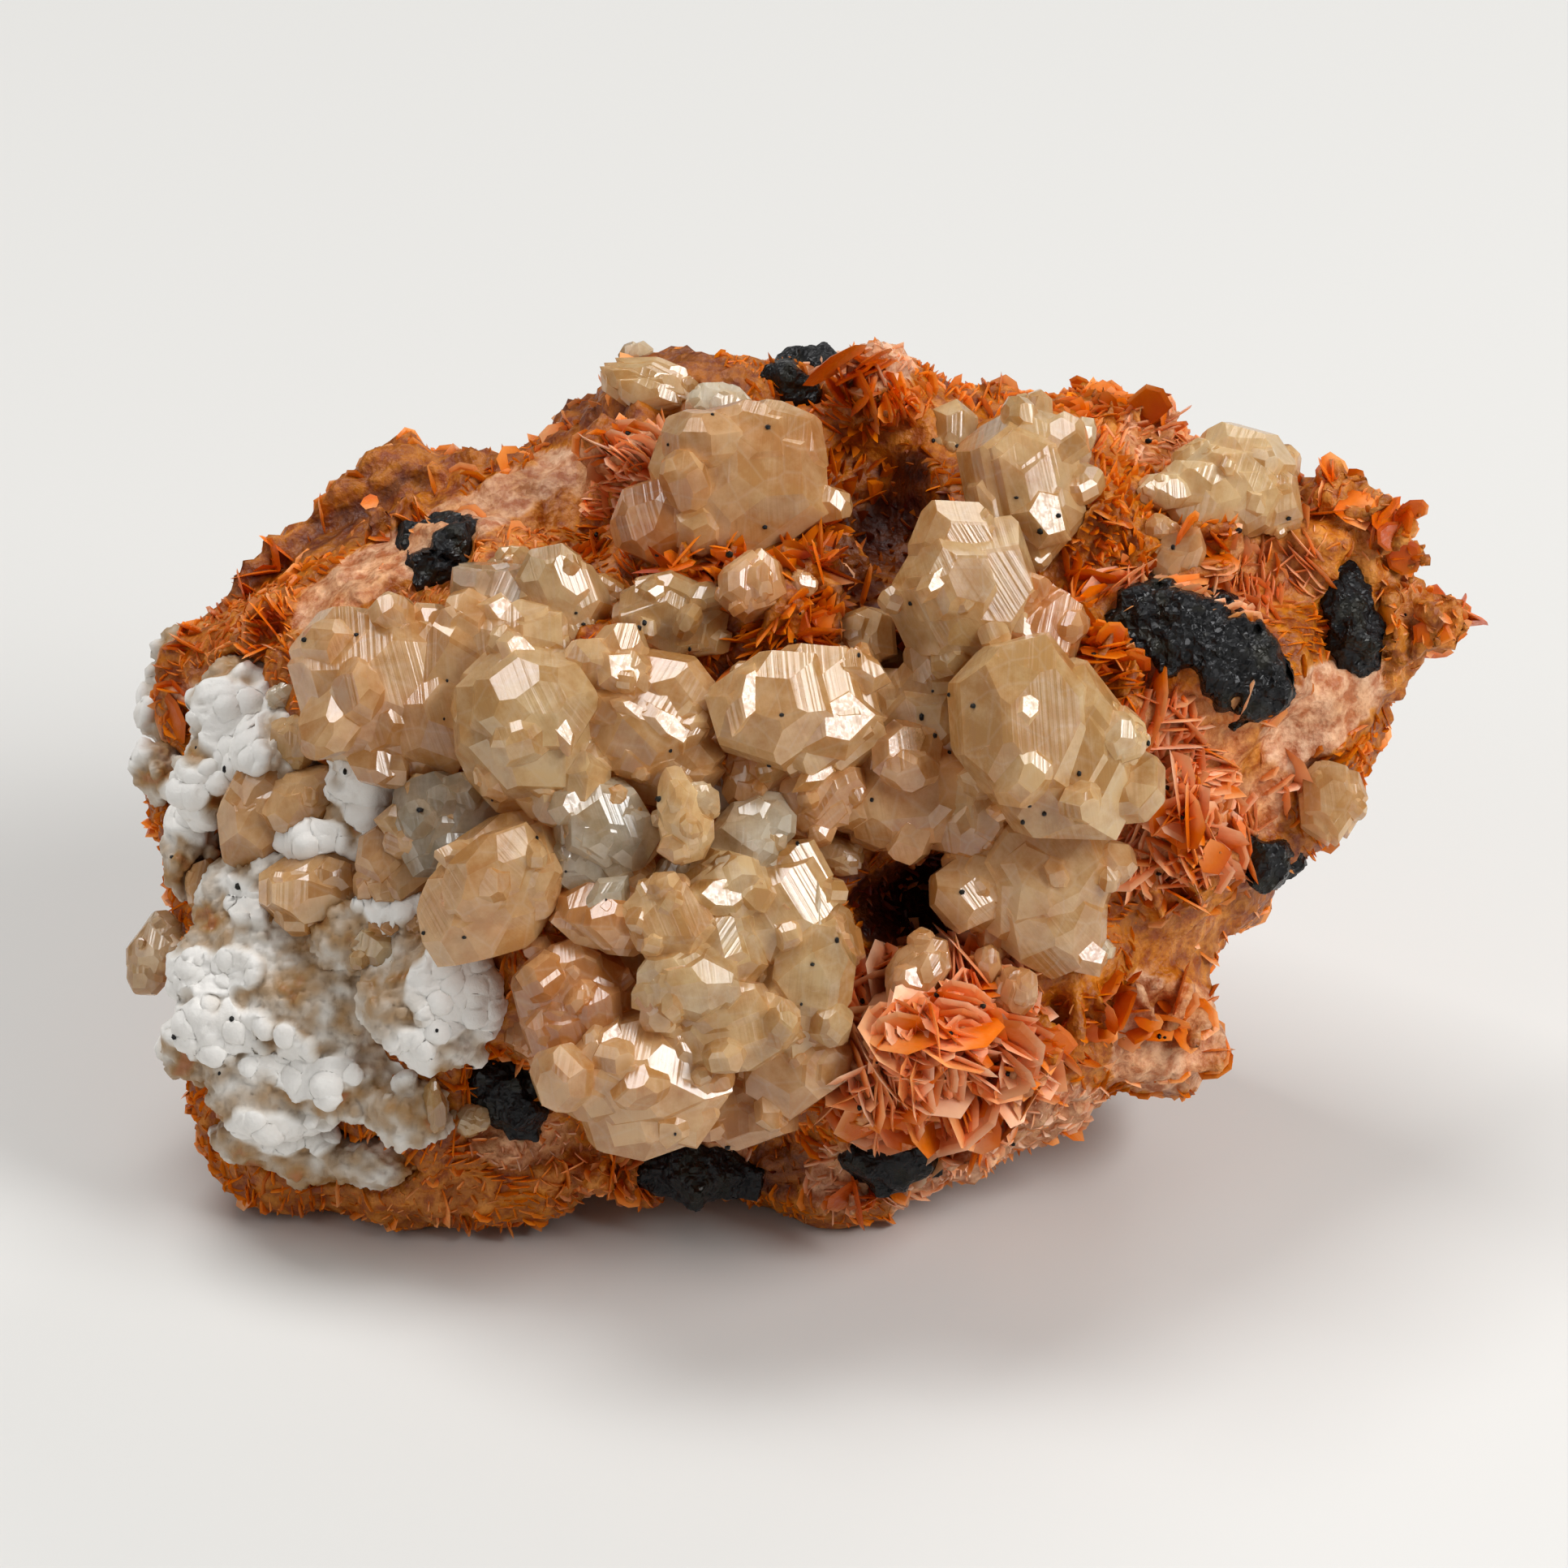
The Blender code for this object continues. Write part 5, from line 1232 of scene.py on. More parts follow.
CRYSTALS = [
    Crystal("summit", -2, 16, 4.4, 3.7, 0, 0.6, 0.6, 0.05, 5),
    Crystal("amber", -6.6, 14, 2.4, 2.2, 20, 0.75, 0.85, 0.25, 0),
    Crystal("ridge_top", 12.7, 15.8, 3, 3.7, 12, 0.85, 0.42, 0.15, 6),
    Crystal("ridge_middle", 9.8, 10.2, 3.6, 3.6, 30, 0.85, 0.42, 0.2, 6),
    Crystal("ridge_foot", 13.9, 8, 1.9, 2.2, -10, 0.85, 0.82, 0, 5),
    Crystal("freckled", 8.8, 4.3, 3.5, 3.1, 20, 0.55, 0.48, 0.25, 3),
    Crystal("barrel", 14.7, 1.5, 3.8, 4.45, 4, 0.9, 0.4, 0.1, 4),
    Crystal("barrel_bud", 18, 2.6, 1.3, 1.5, 0, 0.9, 0.36, 0, 6),
    Crystal("under_barrel", 13.9, -4.8, 4, 3.3, 35, 0.75, 0.55, 0.1, 6),
    Crystal("hollow_wall", 6.6, -0.6, 3.7, 2.8, 10, 0.7, 0.7, 0.05, 3),
    Crystal("hollow_step", 9.6, -1.9, 1.8, 2.1, 5, 0.8, 0.62, 0.1, 2),
    Crystal("keystone", 1.1, 3.8, 3.45, 3.1, 15, 0.85, 0.5, 0.1, 5),
    Crystal("keystone_bud", -1.9, 4.3, 1.4, 1.8, 10, 0.8, 0.55, 0.1, 1),
    Crystal("clear_tablet", -6, 8.9, 2.7, 1.8, -8, 0.5, 0.4, 0.35, 4),
    Crystal("milky_knob", -2, 10.6, 1.4, 1.6, 0, 0.9, 0.72, 0, 5),
    Crystal("smoky_bead", 4.5, 7.9, 1.45, 1.55, 0, 0.9, 0.5, 0.15, 2),
    Crystal("small_prism", -9.4, 6.2, 2.3, 1.5, -12, 0.8, 0.48, 0.05, 3),
    Crystal("left_block", -13.8, 2.8, 3.7, 4.2, 28, 0.8, 0.4, 0.2, 5),
    Crystal("left_block_cap", -14.2, 7.4, 2.5, 1.9, 10, 0.8, 0.46, 0.1, 3),
    Crystal("middle_block", -7.6, 3.1, 3.3, 2.9, -25, 0.8, 0.55, 0.1, 4),
    Crystal("rough_block", -21.4, 5.2, 4.4, 4, 15, 0.75, 0.58, 0, 10),
    Crystal("rough_shoulder", -17.6, 6.6, 2.2, 2.3, 0, 0.85, 0.58, 0.05, 4),
    Crystal("pale_slab", -12.2, 9.8, 2.5, 2.5, 20, 0.6, 0.38, 0.3, 2),
    Crystal("clear_wedge", -15.4, 9.9, 2.1, 1.6, -20, 0.8, 0.25, 0.8, 1),
    Crystal("water_clear", -18.4, -1.8, 2.6, 2.3, 10, 0.7, 0.1, 0.7, 2),
    Crystal("loaf", -15.6, -6, 4.2, 2.6, 42, 0.75, 0.55, 0.1, 3),
    Crystal("green_nodule", -9.9, -1.9, 2.2, 2.2, 20, 0.8, 0.12, 0.45, 2),
    Crystal("tooth", -5.3, -2, 1.3, 2.3, 6, 1, 0.38, 0, 1),
    Crystal("grey_bead", -1.8, -2.8, 1.8, 1.8, 0, 0.85, 0.12, 0.35, 1),
    Crystal("silver_patch", -10.2, -4.6, 2.1, 1.6, 0, 0.7, 0.1, 0.6, 5),
    Crystal("tan_step", -9.4, -7.2, 2.6, 1.7, -10, 0.8, 0.72, 0, 4),
    Crystal("spark", -6.2, -7.6, 2, 2.2, 25, 0.85, 0.48, 0.05, 8),
    Crystal("half_disc", -4.9, -10.8, 2.4, 1.7, 12, 0.8, 0.32, 0.15, 1),
    Crystal("spark_face", -3, -5.6, 2, 1.6, 10, 0.9, 0.35, 0.1, 1),
    Crystal("smoky_slab", -0.2, -6.8, 2.8, 2.6, 30, 0.7, 0.4, 0.15, 3),
    Crystal("smoky_column", 0.9, -10.8, 2.5, 3, -8, 0.8, 0.36, 0.2, 4),
    Crystal("wedge", -2.9, -13.2, 3.3, 2.2, 12, 0.8, 0.45, 0.1, 3),
    Crystal("lower_block", -8.1, -15.6, 4.3, 2.9, -4, 0.8, 0.58, 0.05, 6),
    Crystal("peach_block", -11.3, -11.2, 3, 2.7, 15, 0.75, 0.85, 0, 9),
    Crystal("lower_spur", 0.5, -15, 2.7, 2.6, 38, 0.8, 0.6, 0.1, 4),
    Crystal("lower_shade", -3.2, -16.8, 3.2, 1.7, 0, 0.8, 0.66, 0.1, 3),
    Crystal("peach_step", 2.2, -0.6, 2.5, 1.7, 20, 0.8, 0.75, 0, 5),
    Crystal("peach_bud", -1.6, 0.4, 1.5, 1.5, 0, 0.9, 0.7, 0, 2),
    Crystal("kidney", -28.2, -1.8, 2.2, 2.5, -10, 0.75, 0.6, 0, 1),
    Crystal("kidney_lobe", -25.8, -0.9, 2, 1.5, 20, 0.8, 0.58, 0, 1),
    Crystal("island", -25, -5.6, 2.4, 1.9, 0, 0.75, 0.6, 0.05, 2),
    Crystal("shore_block", -20.9, -4.5, 1.9, 1.9, 0, 0.85, 0.62, 0.05, 3),
    Crystal("islet", -31, -5.6, 1.2, 1.6, 15, 0.8, 0.62, 0, 1),
    Crystal("left_bead", -33.8, -9.2, 1.5, 1.6, 0, 0.95, 0.3, 0.4, 3),
    Crystal("upper_right_block", 23.8, 16, 2.8, 2.4, -15, 0.85, 0.36, 0.05, 7),
    Crystal("upper_right_side", 26.3, 15.4, 1.4, 1.8, 0, 0.9, 0.36, 0.05, 4),
    Crystal("upper_right_bead", 20.6, 15.7, 1.3, 1, 5, 0.9, 0.3, 0, 1),
    Crystal("hole_bud", 11.8, -8, 1.35, 1.4, 0, 0.9, 0.78, 0, 4),
    Crystal("shard", 7.3, -10.2, 1.3, 2.1, -28, 0.7, 0.66, 0, 3),
    Crystal("low_bead", 12.6, -11.2, 0.95, 1.15, 0, 0.9, 0.74, 0.05, 1),
    Crystal("striped_stub", 16.2, -8.9, 1.3, 0.95, -20, 0.9, 0.15, 0, 0),
    Crystal("top_bead", -3.6, 20.2, 1.45, 1.35, 0, 0.9, 0.1, 0.05, 5),
    Crystal("top_bud", 13.3, 19.9, 1, 1.05, 0, 0.9, 0.45, 0.05, 3),
    Crystal("slab_bead", -9.5, 10.3, 0.85, 0.85, 0, 0.9, 0.5, 0.1, 1),
    Crystal("spike_bead", 0.9, 10.8, 0.7, 0.65, 0, 0.9, 0.7, 0, 1),
    Crystal("bead_foot", 4, 6, 1, 1.2, 0, 0.9, 0.55, 0.1, 1),
    Crystal("pale_rod", -8.2, -3.4, 0.65, 1.5, -8, 0.9, 0.15, 0.1, 0),
    Crystal("stepped_plates", -5.2, -4.6, 1.8, 1.1, 35, 0.8, 0.25, 0.25, 2),
    Crystal("ledge_knob", 2.8, -3.8, 1.4, 0.9, -15, 0.9, 0.55, 0, 2),
    Crystal("silver_blade", 1.8, -6.4, 0.3, 1.6, 4, 1.2, 0.1, 0.1, 0),
    Crystal("brown_slab", 2, -8.4, 1.9, 2.1, 0, 0.8, 0.6, 0.1, 3),
    Crystal("pale_wedge", -3.6, -8.9, 2.2, 2, -30, 0.8, 0.35, 0.15, 3),
    Crystal("tan_wedge", -8.3, -9.9, 1.5, 1.5, 0, 0.8, 0.62, 0, 3),
    Crystal("lower_lobe", -5.6, -15.9, 2.3, 2.4, 20, 0.8, 0.58, 0.05, 3),
    Crystal("spur_top", 1.6, -12.9, 1.7, 1.6, 50, 0.8, 0.52, 0.1, 2),
    Crystal("left_prism", -18.8, -17.4, 0.6, 1.4, 6, 0.9, 0.36, 0.1, 0),
    Crystal("left_cube", -16.9, -18, 0.85, 0.8, 20, 0.9, 0.3, 0.1, 1),
    Crystal("peach_tip", -13.6, -13.7, 1, 1.1, 0, 0.9, 0.85, 0, 2),
    Crystal("shore_knob", -26.2, 2.3, 1.1, 1.3, 0, 0.9, 0.4, 0, 2),
    Crystal("white_bead", -27.1, 4.7, 0.7, 0.6, 0, 0.9, 0.1, 0.1, 1),
    Crystal("second_islet", -28.8, -5.4, 0.7, 0.9, 0, 0.8, 0.6, 0, 0),
    Crystal("third_islet", -27.9, -7.3, 0.6, 0.6, 0, 0.8, 0.6, 0, 0),
    Crystal("shore_glass", -21.4, -9, 2, 1.1, -10, 0.7, 0.35, 0.3, 3),
    Crystal("ridge_glass", 15.4, 17.6, 1, 1.6, -20, 0.8, 0.25, 0.3, 2),
    Crystal("ridge_side", 13.4, 9.8, 1.1, 1.2, 0, 0.9, 0.78, 0, 1),
    Crystal("under_freckled", 9.4, -1, 3, 2.3, 0, 0.7, 0.52, 0.15, 2),
    Crystal("peach_plate", 20.8, 12, 1.1, 1.6, -25, 0.6, 0.68, 0, 3),
    Crystal("pink_bead", 20.2, 13.8, 0.75, 0.65, 0, 0.9, 0.6, 0, 0),
    Crystal("yellow_bud", 26.9, 17.2, 0.9, 1, 0, 0.9, 0.38, 0, 2),
    Crystal("upper_left_bud", 22, 17.4, 1.1, 0.8, 0, 0.9, 0.36, 0, 1),
    Crystal("low_pair", 11.6, -12.2, 0.85, 0.95, 0, 0.9, 0.72, 0, 1),
    Crystal("hole_foot", 11, -9.8, 0.7, 1, 0, 0.9, 0.76, 0, 0),
    Crystal("top_tan", 9.2, 19, 1.2, 1.5, 0, 0.8, 0.42, 0.05, 3),
    Crystal("top_veil", -7.2, 21.4, 2.2, 1.2, -10, 0.6, 0.45, 0.2, 2),
    Crystal("top_left_bead", -7.8, 23, 0.75, 0.8, 0, 0.9, 0.2, 0.1, 0),
    Crystal("crest_glass", -14.6, 11.8, 1, 0.8, 0, 0.8, 0.4, 0.3, 1),
    Crystal("block_foot", -12.4, -1, 1.8, 1.1, -10, 0.8, 0.45, 0.1, 2),
    Crystal("middle_foot", -6.6, 0.2, 1.9, 1.2, 10, 0.8, 0.62, 0.05, 3),
    Crystal("tooth_side", -3.4, -0.4, 1, 1.1, 0, 0.9, 0.45, 0.1, 1),
    Crystal("loaf_side", -12.6, -3.6, 1.3, 1.3, 0, 0.9, 0.2, 0.3, 3),
    Crystal("ochre_knob", 29.4, -0.8, 1.4, 1.9, 10, 0.8, 0.5, 0, 3),
]


@dataclass(frozen=True)
class Glint(Patch):
    """A flat growth face that catches the main light, with a small lean of its own in degrees."""

    lean: float = 0.0


GLINTS = [
    Glint("ridge_top_face", 14.2, 14.5, 0.9, 1.2, 10),
    Glint("keystone_face", 3.2, 3.5, 1.5, 1.2, 40),
    Glint("keystone_bud_face", -1.8, 4.9, 0.5, 1.3, -10),
    Glint("freckled_face", 6.5, 2.2, 1.2, 0.8, 30),
    Glint("middle_block_face", -6.1, 3.1, 1.1, 0.5, -35),
    Glint("middle_block_sliver", -7.9, 3.9, 0.9, 0.3, -30),
    Glint("small_prism_face", -8.6, 6.2, 1.0, 0.7, -35),
    Glint("left_cap_face", -14.2, 7.3, 0.8, 0.6, -30),
    Glint("left_block_face", -11.9, 3.0, 0.4, 0.7, 30),
    Glint("clear_wedge_face", -15.1, 9.4, 0.8, 0.5, -15),
    Glint("spark_face", -3.3, -5.9, 1.1, 0.7, 5),
    Glint("silver_face", -11.3, -1.0, 0.8, 0.6, 35),
    Glint("striped_stub_face", 16.3, -9.0, 1.0, 0.6, -20),
    Glint("barrel_face", 13.2, 4.2, 0.5, 0.6, 0),
    Glint("lower_block_face", -9.3, -13.6, 0.7, 0.4, 40),
    Glint("shard_face", 7.0, -10.4, 0.5, 0.7, 60),
    Glint("peach_step_face", 1.9, 0.6, 0.9, 0.4, 30),
    Glint("ridge_middle_face", 8.3, 11.0, 0.4, 0.9, -40),
]
GLINT_DIRECTION = (PLANE.eye + PLANE.right * 0.42 + PLANE.up * 0.22).normalized()


@dataclass(frozen=True)
class Filling(Patch):
    """An area whose gaps are filled with small cerussite crystals, so many, of a tone."""

    count: int = 10
    tone: float = 0.5
    clear: float = 0.1


FILLINGS = [
    Filling("left_basin", -14.0, 1.5, 8.5, 7.5, 0, 14, 0.48, 0.1),
    Filling("lower_basin", -4.0, -9.5, 6.5, 7.5, 0, 22, 0.5, 0.1),
    Filling("grey_middle", -6.0, -3.5, 6.5, 3.5, 0, 14, 0.18, 0.3),
    Filling("right_column", 9.5, 3.5, 5.5, 5.5, 0, 7, 0.5, 0.1),
    Filling("shore", -20.5, -6.0, 3.0, 3.5, 0, 8, 0.58, 0.05),
    Filling("lower_left", -9.5, -12.5, 4.5, 4.0, 0, 8, 0.75, 0.0),
    Filling("keystone_foot", 0.5, 1.0, 5.0, 3.5, 0, 6, 0.7, 0.0),
]


@dataclass
class CerussiteGroups:
    """The cerussite crystals. Each is cut face by face and united with the blocks that grew with it."""

    finish: CerussiteFinish = field(default_factory=CerussiteFinish)
    seed: int = 19
    swell: float = 1.16
    prism_faces: tuple[int, int] = (6, 9)
    slopes: Sequence[tuple[float, float]] = ((22, 40), (50, 68))
    slope_share: float = 0.75
    unevenness: float = 0.14
    step_blocks: tuple[int, int] = (4, 8)
    step_share: tuple[float, float] = (0.4, 0.78)
    step_reach: tuple[float, float] = (0.3, 0.66)
    step_lean: float = 0.16
    bud_forms: int = 14
    bud_share: tuple[float, float] = (0.1, 0.24)
    buds_for_one: int = 1
    small_radius: tuple[float, float] = (0.5, 1.15)
    glint_proud_mm: float = 0.12
    main_group: str = "cerussite_rough_block"
    cover_mm: float = 3.0
    stand: float = 0.6

    def build(self) -> list[Piece]:
        """Builds every group.

        Returns:
            The finished pieces.
        """
        rng = np.random.default_rng(self.seed)
        material = self.finish.material()
        nodes = nodes_starting("cerussite")
        crystals = CRYSTALS + self._small_ones(rng)
        members, fronts = self._share_out(nodes, crystals)
        buds = [self._block(self._planes(rng), rng) for _ in range(self.bud_forms)]
        shapes = {crystal.name: self._shape(crystal, fronts[crystal.name], buds, rng) for crystal in crystals}
        self._add_glints(shapes, rng)
        pieces = []
        for node in nodes:
            first, others = bmesh.new(), bmesh.new()
            for crystal in members[node]:
                main, rest = shapes[crystal.name]
                self._mark(main, crystal)
                self._mark(rest, crystal)
                single = Piece(crystal.name, main)
                self._unite(single, rest)
                (others if len(first.verts) else first).from_mesh(single.mesh)
                spent = single.mesh
                bpy.data.objects.remove(single.object)
                bpy.data.meshes.remove(spent)
            piece = Piece(f"{node}_crystals", first)
            self._unite(piece, others)
            piece.finish(material, "cerussite", [node], smooth=False)
            pieces.append(piece)
        return pieces

    def _mark(self, shape: bmesh.types.BMesh, crystal: Crystal) -> None:
        """Writes a crystal's tone, clearness and growth direction on the faces of its blocks."""
        tone = shape.faces.layers.float.new("tone")
        clear = shape.faces.layers.float.new("clear")
        growth = shape.faces.layers.float_vector.new("growth")
        turn = math.radians(crystal.bearing)
        axis = (PLANE.right * math.cos(turn) + PLANE.up * math.sin(turn) + PLANE.eye * 0.2) / MM
        for face in shape.faces:
            face[tone], face[clear], face[growth] = crystal.tone, crystal.clear, axis

    def _small_ones(self, rng: np.random.Generator) -> list[Crystal]:
        """Makes up the small crystals that fill the gaps."""
        made = []
        for area in FILLINGS:
            for i in range(area.count):
                reach, turn = math.sqrt(rng.random()), rng.uniform(0, math.tau)
                radius = rng.uniform(*self.small_radius)
                made.append(Crystal(
                    f"{area.name}_{i}", area.u + area.across * reach * math.cos(turn),
                    area.v + area.up * reach * math.sin(turn), radius, radius * rng.uniform(0.8, 1.5),
                    rng.uniform(0, 180), 0.9, area.tone + rng.uniform(-0.15, 0.15), area.clear, 0,
                ))
        return made

    def _share_out(
        self, nodes: list[str], crystals: list[Crystal]
    ) -> tuple[dict[str, list[Crystal]], dict[str, float]]:
        """Finds the solid that each crystal belongs to and how far forward its front stands.

        Args:
            nodes: The cerussite nodes.
            crystals: The crystals.

        Returns:
            The crystals of each node, and each crystal's front in millimetres before the picture plane.
        """
        trees = {}
        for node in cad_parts:
            bm = merged_nodes([node])
            trees[node] = BVHTree.FromBMesh(bm)
            bm.free()
        eye = PLANE.camera_place
        members: dict[str, list[Crystal]] = {node: [] for node in nodes}
        fronts = {}
        for crystal in crystals:
            aim = (PLANE.point(crystal.u, crystal.v) - eye).normalized()
            hits = {node: tree.ray_cast(eye, aim)[0] for node, tree in trees.items()}
            hits = {node: hit for node, hit in hits.items() if hit is not None}
            own = [node for node in hits if node in members]
            wanted = min(hits, key=lambda node: (hits[node] - eye).length)
            if own and (hits[own[0]] - hits[wanted]).length < self.cover_mm * MM:
                wanted = min(own, key=lambda node: (hits[node] - eye).length)
            front = float(PLANE.places(np.array([hits[wanted]]))[0, 2])
            if wanted not in members:
                front += self.stand * crystal.depth * (crystal.across + crystal.up) / 2
                wanted = self.main_group
            fronts[crystal.name] = front
            members[wanted].append(crystal)
        for node in nodes:
            if not members[node]:
                raise ValueError(f"no crystal stands for {node}")
        return members, fronts

    def _planes(self, rng: np.random.Generator) -> list[tuple[Vector, float]]:
        """Picks the faces of one stout crystal as outward directions and distances for size 1."""
        planes = [(Vector((0, 0, 1)), 0.94), (Vector((0, 0, -1)), 0.94)]
        count = rng.integers(*self.prism_faces)
        for i in range(count):
            angle = math.tau * (i + rng.uniform(-0.2, 0.2)) / count
            side = Vector((math.cos(angle), math.sin(angle), 0))
            planes.append((side, 0.98))
            for up in (1, -1):
                for least, most in self.slopes:
                    slope = math.radians(rng.uniform(least, most))
                    if rng.random() < self.slope_share:
                        planes.append((side * math.cos(slope) + Vector((0, 0, up * math.sin(slope))), 1.0))
        return [(n.normalized(), d * (1 - self.unevenness * rng.random())) for n, d in planes]

    def _block(self, planes: Iterable[tuple[Vector, float]], rng: np.random.Generator) -> bpy.types.Mesh:
        """Cuts a crystal of size 1 out of a cube, face by face.

        Args:
            planes: Its faces.
            rng: The source of chance for the small differences between its faces.

        Returns:
            The closed shape, with a number from 0 to 1 for each face.
        """
        bm = bmesh.new()
        bmesh.ops.create_cube(bm, size=4.0)
        for outward, distance in planes:
            geometry = bm.verts[:] + bm.edges[:] + bm.faces[:]
            cut = bmesh.ops.bisect_plane(
                bm, geom=geometry, dist=1e-6, plane_co=outward * distance, plane_no=outward, clear_outer=True
            )
            edges = [e for e in cut["geom_cut"] if isinstance(e, bmesh.types.BMEdge)]
            if len(edges) > 2:
                bmesh.ops.edgeloop_fill(bm, edges=edges)
        bmesh.ops.remove_doubles(bm, verts=bm.verts, dist=0.02)
        bmesh.ops.recalc_face_normals(bm, faces=bm.faces)
        facet, polish = bm.faces.layers.float.new("facet"), bm.faces.layers.float.new("polish")
        for face in bm.faces:
            face[facet], face[polish] = rng.random(), 0.0
        mesh = bpy.data.meshes.new("block")
        bm.to_mesh(mesh)
        bm.free()
        return mesh

    def _add(self, whole: bmesh.types.BMesh, block: bpy.types.Mesh, matrix: Matrix) -> None:
        """Adds a moved copy of a block to a shape."""
        copy = block.copy()
        copy.transform(matrix)
        whole.from_mesh(copy)
        bpy.data.meshes.remove(copy)

    def _shape(
        self, crystal: Crystal, front: float, buds: list[bpy.types.Mesh], rng: np.random.Generator
    ) -> tuple[bmesh.types.BMesh, bmesh.types.BMesh]:
        """Builds the blocks of one crystal.

        Args:
            crystal: The crystal.
            front: How far its front stands before the picture plane, in millimetres.
            buds: The forms of the small crystals on it.
            rng: The source of chance.

        Returns:
            The main block, and all the others.
        """
        depth = crystal.depth * (crystal.across + crystal.up) / 2
        seat = Matrix((PLANE.right, PLANE.up, PLANE.eye)).transposed().to_4x4()
        seat.translation = PLANE.point(crystal.u, crystal.v, front - depth * 0.85)
        size = Matrix.Diagonal((*(Vector((crystal.across, crystal.up, depth)) * self.swell * MM), 1.0))
        turn = Matrix.Rotation(math.radians(crystal.bearing), 4, "Z")
        lean = Matrix.Rotation(rng.uniform(-0.5, 0.5), 4, "X") @ Matrix.Rotation(rng.uniform(-0.5, 0.5), 4, "Y")
        planes = self._planes(rng)
        base = seat @ turn @ size
        main, rest = bmesh.new(), bmesh.new()
        block = self._block(planes, rng)
        self._add(main, block, base @ Matrix.Scale(0.94, 4) @ lean)
        steps = rng.integers(*self.step_blocks) if crystal.buds else 1
        for _ in range(steps):
            share = rng.uniform(*self.step_share)
            away = Vector((*rng.normal(0, 1, 2), rng.normal(0.35, 0.7))).normalized() * rng.uniform(*self.step_reach)
            slip = Matrix.Rotation(rng.normal(0, self.step_lean), 4, Vector(rng.normal(0, 1, 3)).normalized())
            shape = Matrix.Diagonal((*(share * rng.uniform(0.75, 1.2, 3)), 1.0))
            self._add(rest, block, base @ Matrix.Translation(away) @ slip @ lean @ shape)
        bpy.data.meshes.remove(block)
        for _ in range(crystal.buds * self.buds_for_one):
            share = rng.uniform(*self.bud_share)
            away = Vector((*rng.normal(0, 1, 2), abs(rng.normal(0, 0.8)))).normalized() * rng.uniform(0.72, 0.95)
            radius = max(0.28, share * (crystal.across + crystal.up)) * MM
            shape = Matrix.Diagonal((*(radius * rng.uniform(0.7, 1.25, 3)), 1.0))
            turned = Matrix.Rotation(rng.uniform(0, math.tau), 4, Vector(rng.normal(0, 1, 3)).normalized())
            place = Matrix.Translation(base @ away)
            self._add(rest, buds[rng.integers(len(buds))], place @ turned @ shape)
        return main, rest

    def _tablet(self, rng: np.random.Generator) -> bpy.types.Mesh:
        """Cuts a low tablet of size 1 whose top is the polished face."""
        planes = [(Vector((0, 0, 1)), 0.0), (Vector((0, 0, -1)), 1.0)]
        count = rng.integers(5, 8)
        for i in range(count):
            angle = math.tau * (i + rng.uniform(-0.25, 0.25)) / count
            rise = math.radians(rng.uniform(22, 42))
            outward = Vector((math.cos(angle) * math.cos(rise), math.sin(angle) * math.cos(rise), math.sin(rise)))
            planes.append((outward, math.cos(rise) * rng.uniform(0.78, 1.0)))
        block = self._block(planes, rng)
        for face, mark in zip(block.polygons, block.attributes["polish"].data):
            mark.value = float(face.normal.z > 0.99)
        return block

    def _add_glints(
        self, shapes: dict[str, tuple[bmesh.types.BMesh, bmesh.types.BMesh]], rng: np.random.Generator
    ) -> None:
        """Adds the large flat faces that flash, each to the crystal in front at its place.

        Args:
            shapes: The blocks of each crystal.
            rng: The source of chance.
        """
        eye = PLANE.camera_place
        trees = [(name, BVHTree.FromBMesh(bm)) for name, both in shapes.items() for bm in both]
        for glint in GLINTS:
            aim = (PLANE.point(glint.u, glint.v) - eye).normalized()
            hits = [(tree.ray_cast(eye, aim)[3], name) for name, tree in trees]
            hits = [(distance, name) for distance, name in hits if distance is not None]
            if not hits:
                raise ValueError(f"no crystal lies at {glint.name}")
            distance, name = min(hits)
            top = GLINT_DIRECTION
            turn = math.radians(glint.bearing)
            side = PLANE.right * math.cos(turn) + PLANE.up * math.sin(turn)
            side = (side - top * side.dot(top)).normalized()
            seat = Matrix((side, top.cross(side), top)).transposed().to_4x4()
            seat.translation = eye + aim * distance + top * self.glint_proud_mm * MM
            thick = 0.5 * (glint.across + glint.up)
            size = Matrix.Diagonal((glint.across * MM, glint.up * MM, thick * MM, 1.0))
            tablet = self._tablet(rng)
            self._add(shapes[name][1], tablet, seat @ size)
            bpy.data.meshes.remove(tablet)

    def _unite(self, piece: Piece, blocks: bmesh.types.BMesh) -> None:
        """Joins overlapping blocks into one closed skin.

        Args:
            piece: The piece with the first block.
            blocks: The others, which are freed.
        """
        if not len(blocks.verts):
            blocks.free()
            return
        rest = Piece(f"{piece.object.name}_rest", blocks)
        piece.modify("BOOLEAN", object=rest.object, operation="UNION", solver="EXACT", use_self=True)
        spent = rest.mesh
        bpy.data.objects.remove(rest.object)
        bpy.data.meshes.remove(spent)


